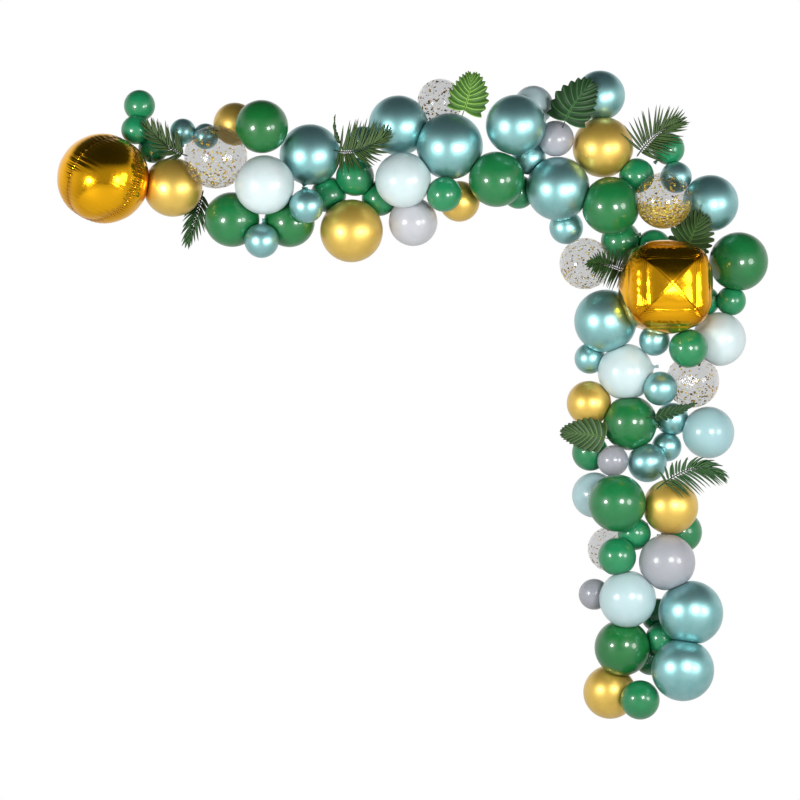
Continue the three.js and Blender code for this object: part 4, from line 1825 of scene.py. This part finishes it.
@dataclass
class Garland:
    """The whole garland: every balloon where the frame has it, with its finish.

    Attributes:
        nodes: The CAD nodes by name.
        record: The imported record.
        globe_facets: How many sides the globe's solid has round it.
        near_miss: How far off touching a neighbour may be and still have a plane.
        cube_side: The cube's side.
        cube_press: Share of its radius that a ball keeps towards the cube, and the cube towards a ball.
        cube_corner: How far the cube's corners stand from its middle, against half its side.
    """

    nodes: dict
    record: dict
    globe_facets: int = 13
    near_miss: float = 40 * MM
    cube_side: float = 376 * MM
    cube_press: float = 0.92
    cube_corner: float = 3**0.25

    def slots(self) -> dict[str, Slot]:
        """The material slot of each node."""
        return {part["node"]: Slot(part["material_slot"]) for part in self.record["subparts"]}

    def globe_ball(self, name: str) -> Ball:
        """Finds the foil globe's middle and radius from its solid, which has a corner at its left and front.

        Args:
            name: The node's name.

        Returns:
            The globe's ball.
        """
        low, high = (np.array(corner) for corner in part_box(name))
        highest_corner = math.cos(math.pi / 2 / self.globe_facets)
        radius = (high[2] - low[2]) / 2 / GLOBE_SQUASH[2] / highest_corner
        middle = np.array((low[0] + radius, low[1] + GLOBE_SQUASH[1] * radius, (low[2] + high[2]) / 2))
        return Ball(name, middle, radius, np.array((0.0, 1.0, 0.0)))

    def cube_ball(self, name: str) -> Ball:
        """Finds the foil cube's middle from its node's box, with half its side as the radius."""
        low, high = (np.array(corner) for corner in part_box(name))
        return Ball(name, (low + high) / 2, self.cube_side / 2, np.array((0.0, 1.0, 0.0)))

    def find_balls(self) -> dict[str, list[Ball]]:
        """Finds every ball of every node, and what each lies flat against.

        Returns:
            The balls by node.
        """
        finder = BallFinder()
        counts = self.record["physics"]["collision_pieces"]
        balls = {}
        for name, node in self.nodes.items():
            if name == "gold_foil_globe":
                balls[name] = [self.globe_ball(name)]
            elif name == "gold_foil_cube":
                balls[name] = [self.cube_ball(name)]
            else:
                balls[name] = finder.find(node, counts[name])
        every = [ball for group in balls.values() for ball in group]
        for ball in every:
            ball.presses = self.presses_on(ball, every)
        return balls

    def presses_on(self, ball: Ball, every: list[Ball]) -> list[Press]:
        """Lists the planes that a ball lies flat against.

        Args:
            ball: The ball.
            every: All balls.

        Returns:
            A plane for each neighbour that touches it, and one for the wall.
        """
        presses = []
        for other in every:
            apart = np.linalg.norm(other.centre - ball.centre)
            if other is ball or apart >= ball.radius + other.radius + self.near_miss:
                continue
            reach = (apart**2 + ball.radius**2 - other.radius**2) / (2 * apart)
            if ball.node == "gold_foil_cube":
                reach = apart - other.radius * self.cube_press
            elif other.node == "gold_foil_cube":
                reach = max(ball.radius * self.cube_press, apart - other.radius * self.cube_corner)
            presses.append(Press((other.centre - ball.centre) / apart, reach))
        presses.append(Press(np.array((0.0, 1.0, 0.0)), -ball.centre[1]))
        return presses


@dataclass(frozen=True)
class Workshop:
    """Makes the finishes, and each piece of the garland with its own.

    Attributes:
        finishes: The balloons' finishes by slot.
        leaf_finishes: The leaves' finishes by name.
        flake_finish: The confetti's finish.
        fills: What is in each clear balloon, by node.
        shades: How far a node's colour is towards that of large balloons, where its size doesn't say: partly
            its own tint, partly painted shade on balloons that get less light.
        batch_seed: Seed of the balloons' own small differences.
    """

    finishes: dict[Slot, Finish]
    leaf_finishes: dict[str, LeafFinish]
    flake_finish: ConfettiFinish
    fills: dict[str, ConfettiFill]
    shades: dict[str, float]
    batch_seed: int = 11

    def report(self, piece: bpy.types.Object, what: str) -> None:
        """Lets a piece ride on the garland's body and logs it.

        Args:
            piece: The piece.
            what: What it is, for the log.
        """
        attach(piece, "root")
        log.info("%s: %s, %d faces", piece.name, what, len(piece.data.polygons))

    def make_balloons(self, garland: Garland, balls: dict[str, list[Ball]]) -> None:
        """Makes one piece for each node, and the flakes in the clear ones.

        Args:
            garland: The garland.
            balls: Its balls by node.
        """
        materials = {slot: finish.material() for slot, finish in self.finishes.items()}
        metal = self.flake_finish.material()
        chance = np.random.default_rng(self.batch_seed)
        slots = garland.slots()
        for name, group in balls.items():
            slot = slots[name]
            if name == "gold_foil_globe":
                piece = FoilGlobe(group[0]).build("foil_globe_balloon", materials[slot])
            elif name == "gold_foil_cube":
                piece = FoilCube(group[0]).build("foil_cube_balloon", materials[slot])
            else:
                draft = MeshDraft()
                for ball in group:
                    balloon = TiedBalloon(ball, chance.random(), self.shades.get(name))
                    balloon.add_to(draft, slot is Slot.CLEAR)
                piece = draft.build(name + "_skin", materials[slot])
            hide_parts(name)
            self.report(piece, f"{len(group)} balloon(s)")
            if slot is Slot.CLEAR:
                flakes = self.fills[name].build(group[0], name + "_flakes", metal)
                self.report(flakes, "confetti")

    def make_leaves(self, balls: dict[str, list[Ball]]) -> None:
        """Tucks the leaves in beside their balloons.

        Args:
            balls: The balls by node.
        """
        materials = {name: finish.material() for name, finish in self.leaf_finishes.items()}
        for leaf in LEAVES:
            host = balls[leaf.place.host][0]
            piece = leaf.build(host.centre, materials[leaf.finish])
            self.report(piece, "leaf")


def main() -> None:
    """Builds the garland piece by piece, then the studio round it."""
    logging.basicConfig(level=logging.INFO, format="%(message)s")
    workshop = Workshop(
        finishes={
            Slot.GREEN: LatexFinish("green_latex_dip_moulded", "#12652b", "#1a8254", "#0a4220", 0.08),
            Slot.MINT: LatexFinish("mint_latex_dip_moulded", "#c3cfd0", "#92b4b8", "#93b2b6", 0.2, 0.3),
            Slot.GREY: LatexFinish("grey_latex_dip_moulded", "#b0b1b6", "#8e9097", "#84838b", 0.18, 0.3),
            Slot.TEAL_CHROME: ChromeLatexFinish(
                "teal_chrome_latex_dip_moulded", "#92c4c5", "#3a9393", 0.4, 0.9
            ),
            Slot.GOLD_CHROME: ChromeLatexFinish(
                "gold_chrome_latex_dip_moulded", "#e0bc55", "#bb9032", 0.42, 0.74
            ),
            Slot.CLEAR: ClearLatexFinish("clear_latex_dip_moulded"),
            Slot.GOLD_FOIL: MirrorFilmFinish("gold_film_metallised_welded", "#ffba1a", "#944a06"),
        },
        leaf_finishes={
            "olive": LeafFinish("olive_leaf_polyethylene_pressed", "#29481f", "#0d1c0a", "#56703a"),
            "dark": LeafFinish("dark_leaf_polyethylene_pressed", "#17381d", "#07170c", "#4f8046"),
            "middle": LeafFinish("green_leaf_polyethylene_pressed", "#1b3d1d", "#081a0c", "#678c49"),
            "bright": LeafFinish("bright_leaf_polyethylene_pressed", "#2f6b22", "#103413", "#a3cf62"),
        },
        flake_finish=ConfettiFinish("gold_leaf_flakes_torn", "#3a2606", "#e0a412", "#ffe85c"),
        fills={
            "confetti_balloon_top_left": ConfettiFill(560, 0.5, 5 * MM, 16 * MM, 0.66),
            "confetti_balloon_top_middle": ConfettiFill(240, 0.3, 6 * MM, 18 * MM, 0.12),
            "confetti_balloon_corner_front": ConfettiFill(2100, 0.84, 6 * MM, 18 * MM, 0.74),
            "confetti_balloon_corner_back": ConfettiFill(420, 0.3, 5 * MM, 13 * MM, 0.5),
            "confetti_balloon_side_1": ConfettiFill(380, 0.3, 5 * MM, 15 * MM, 0.45),
            "confetti_balloon_side_2": ConfettiFill(240, 0.3, 5 * MM, 12 * MM, 0.45),
        },
        # Tint and painted shade: the lower, less lit balloons get darker colours here, and one mint balloon
        # is more aqua.
        shades={
            "mint_balloon_top_1": 1.0,
            "mint_balloon_top_2": 0.85,
            "mint_balloon_side_2": 0.75,
            "mint_balloon_side_3": 0.0,
            "mint_balloon_side_4": 0.2,
            "mint_balloon_side_5": 0.45,
            "mint_balloon_top_3": 0.5,
            "grey_balloon_side_2": 0.3,
        },
    )
    garland = Garland(frame["nodes"], frame["record"])
    balls = garland.find_balls()
    workshop.make_balloons(garland, balls)
    workshop.make_leaves(balls)
    Studio(*cad_box).build()


if __name__ == "__main__":
    main()
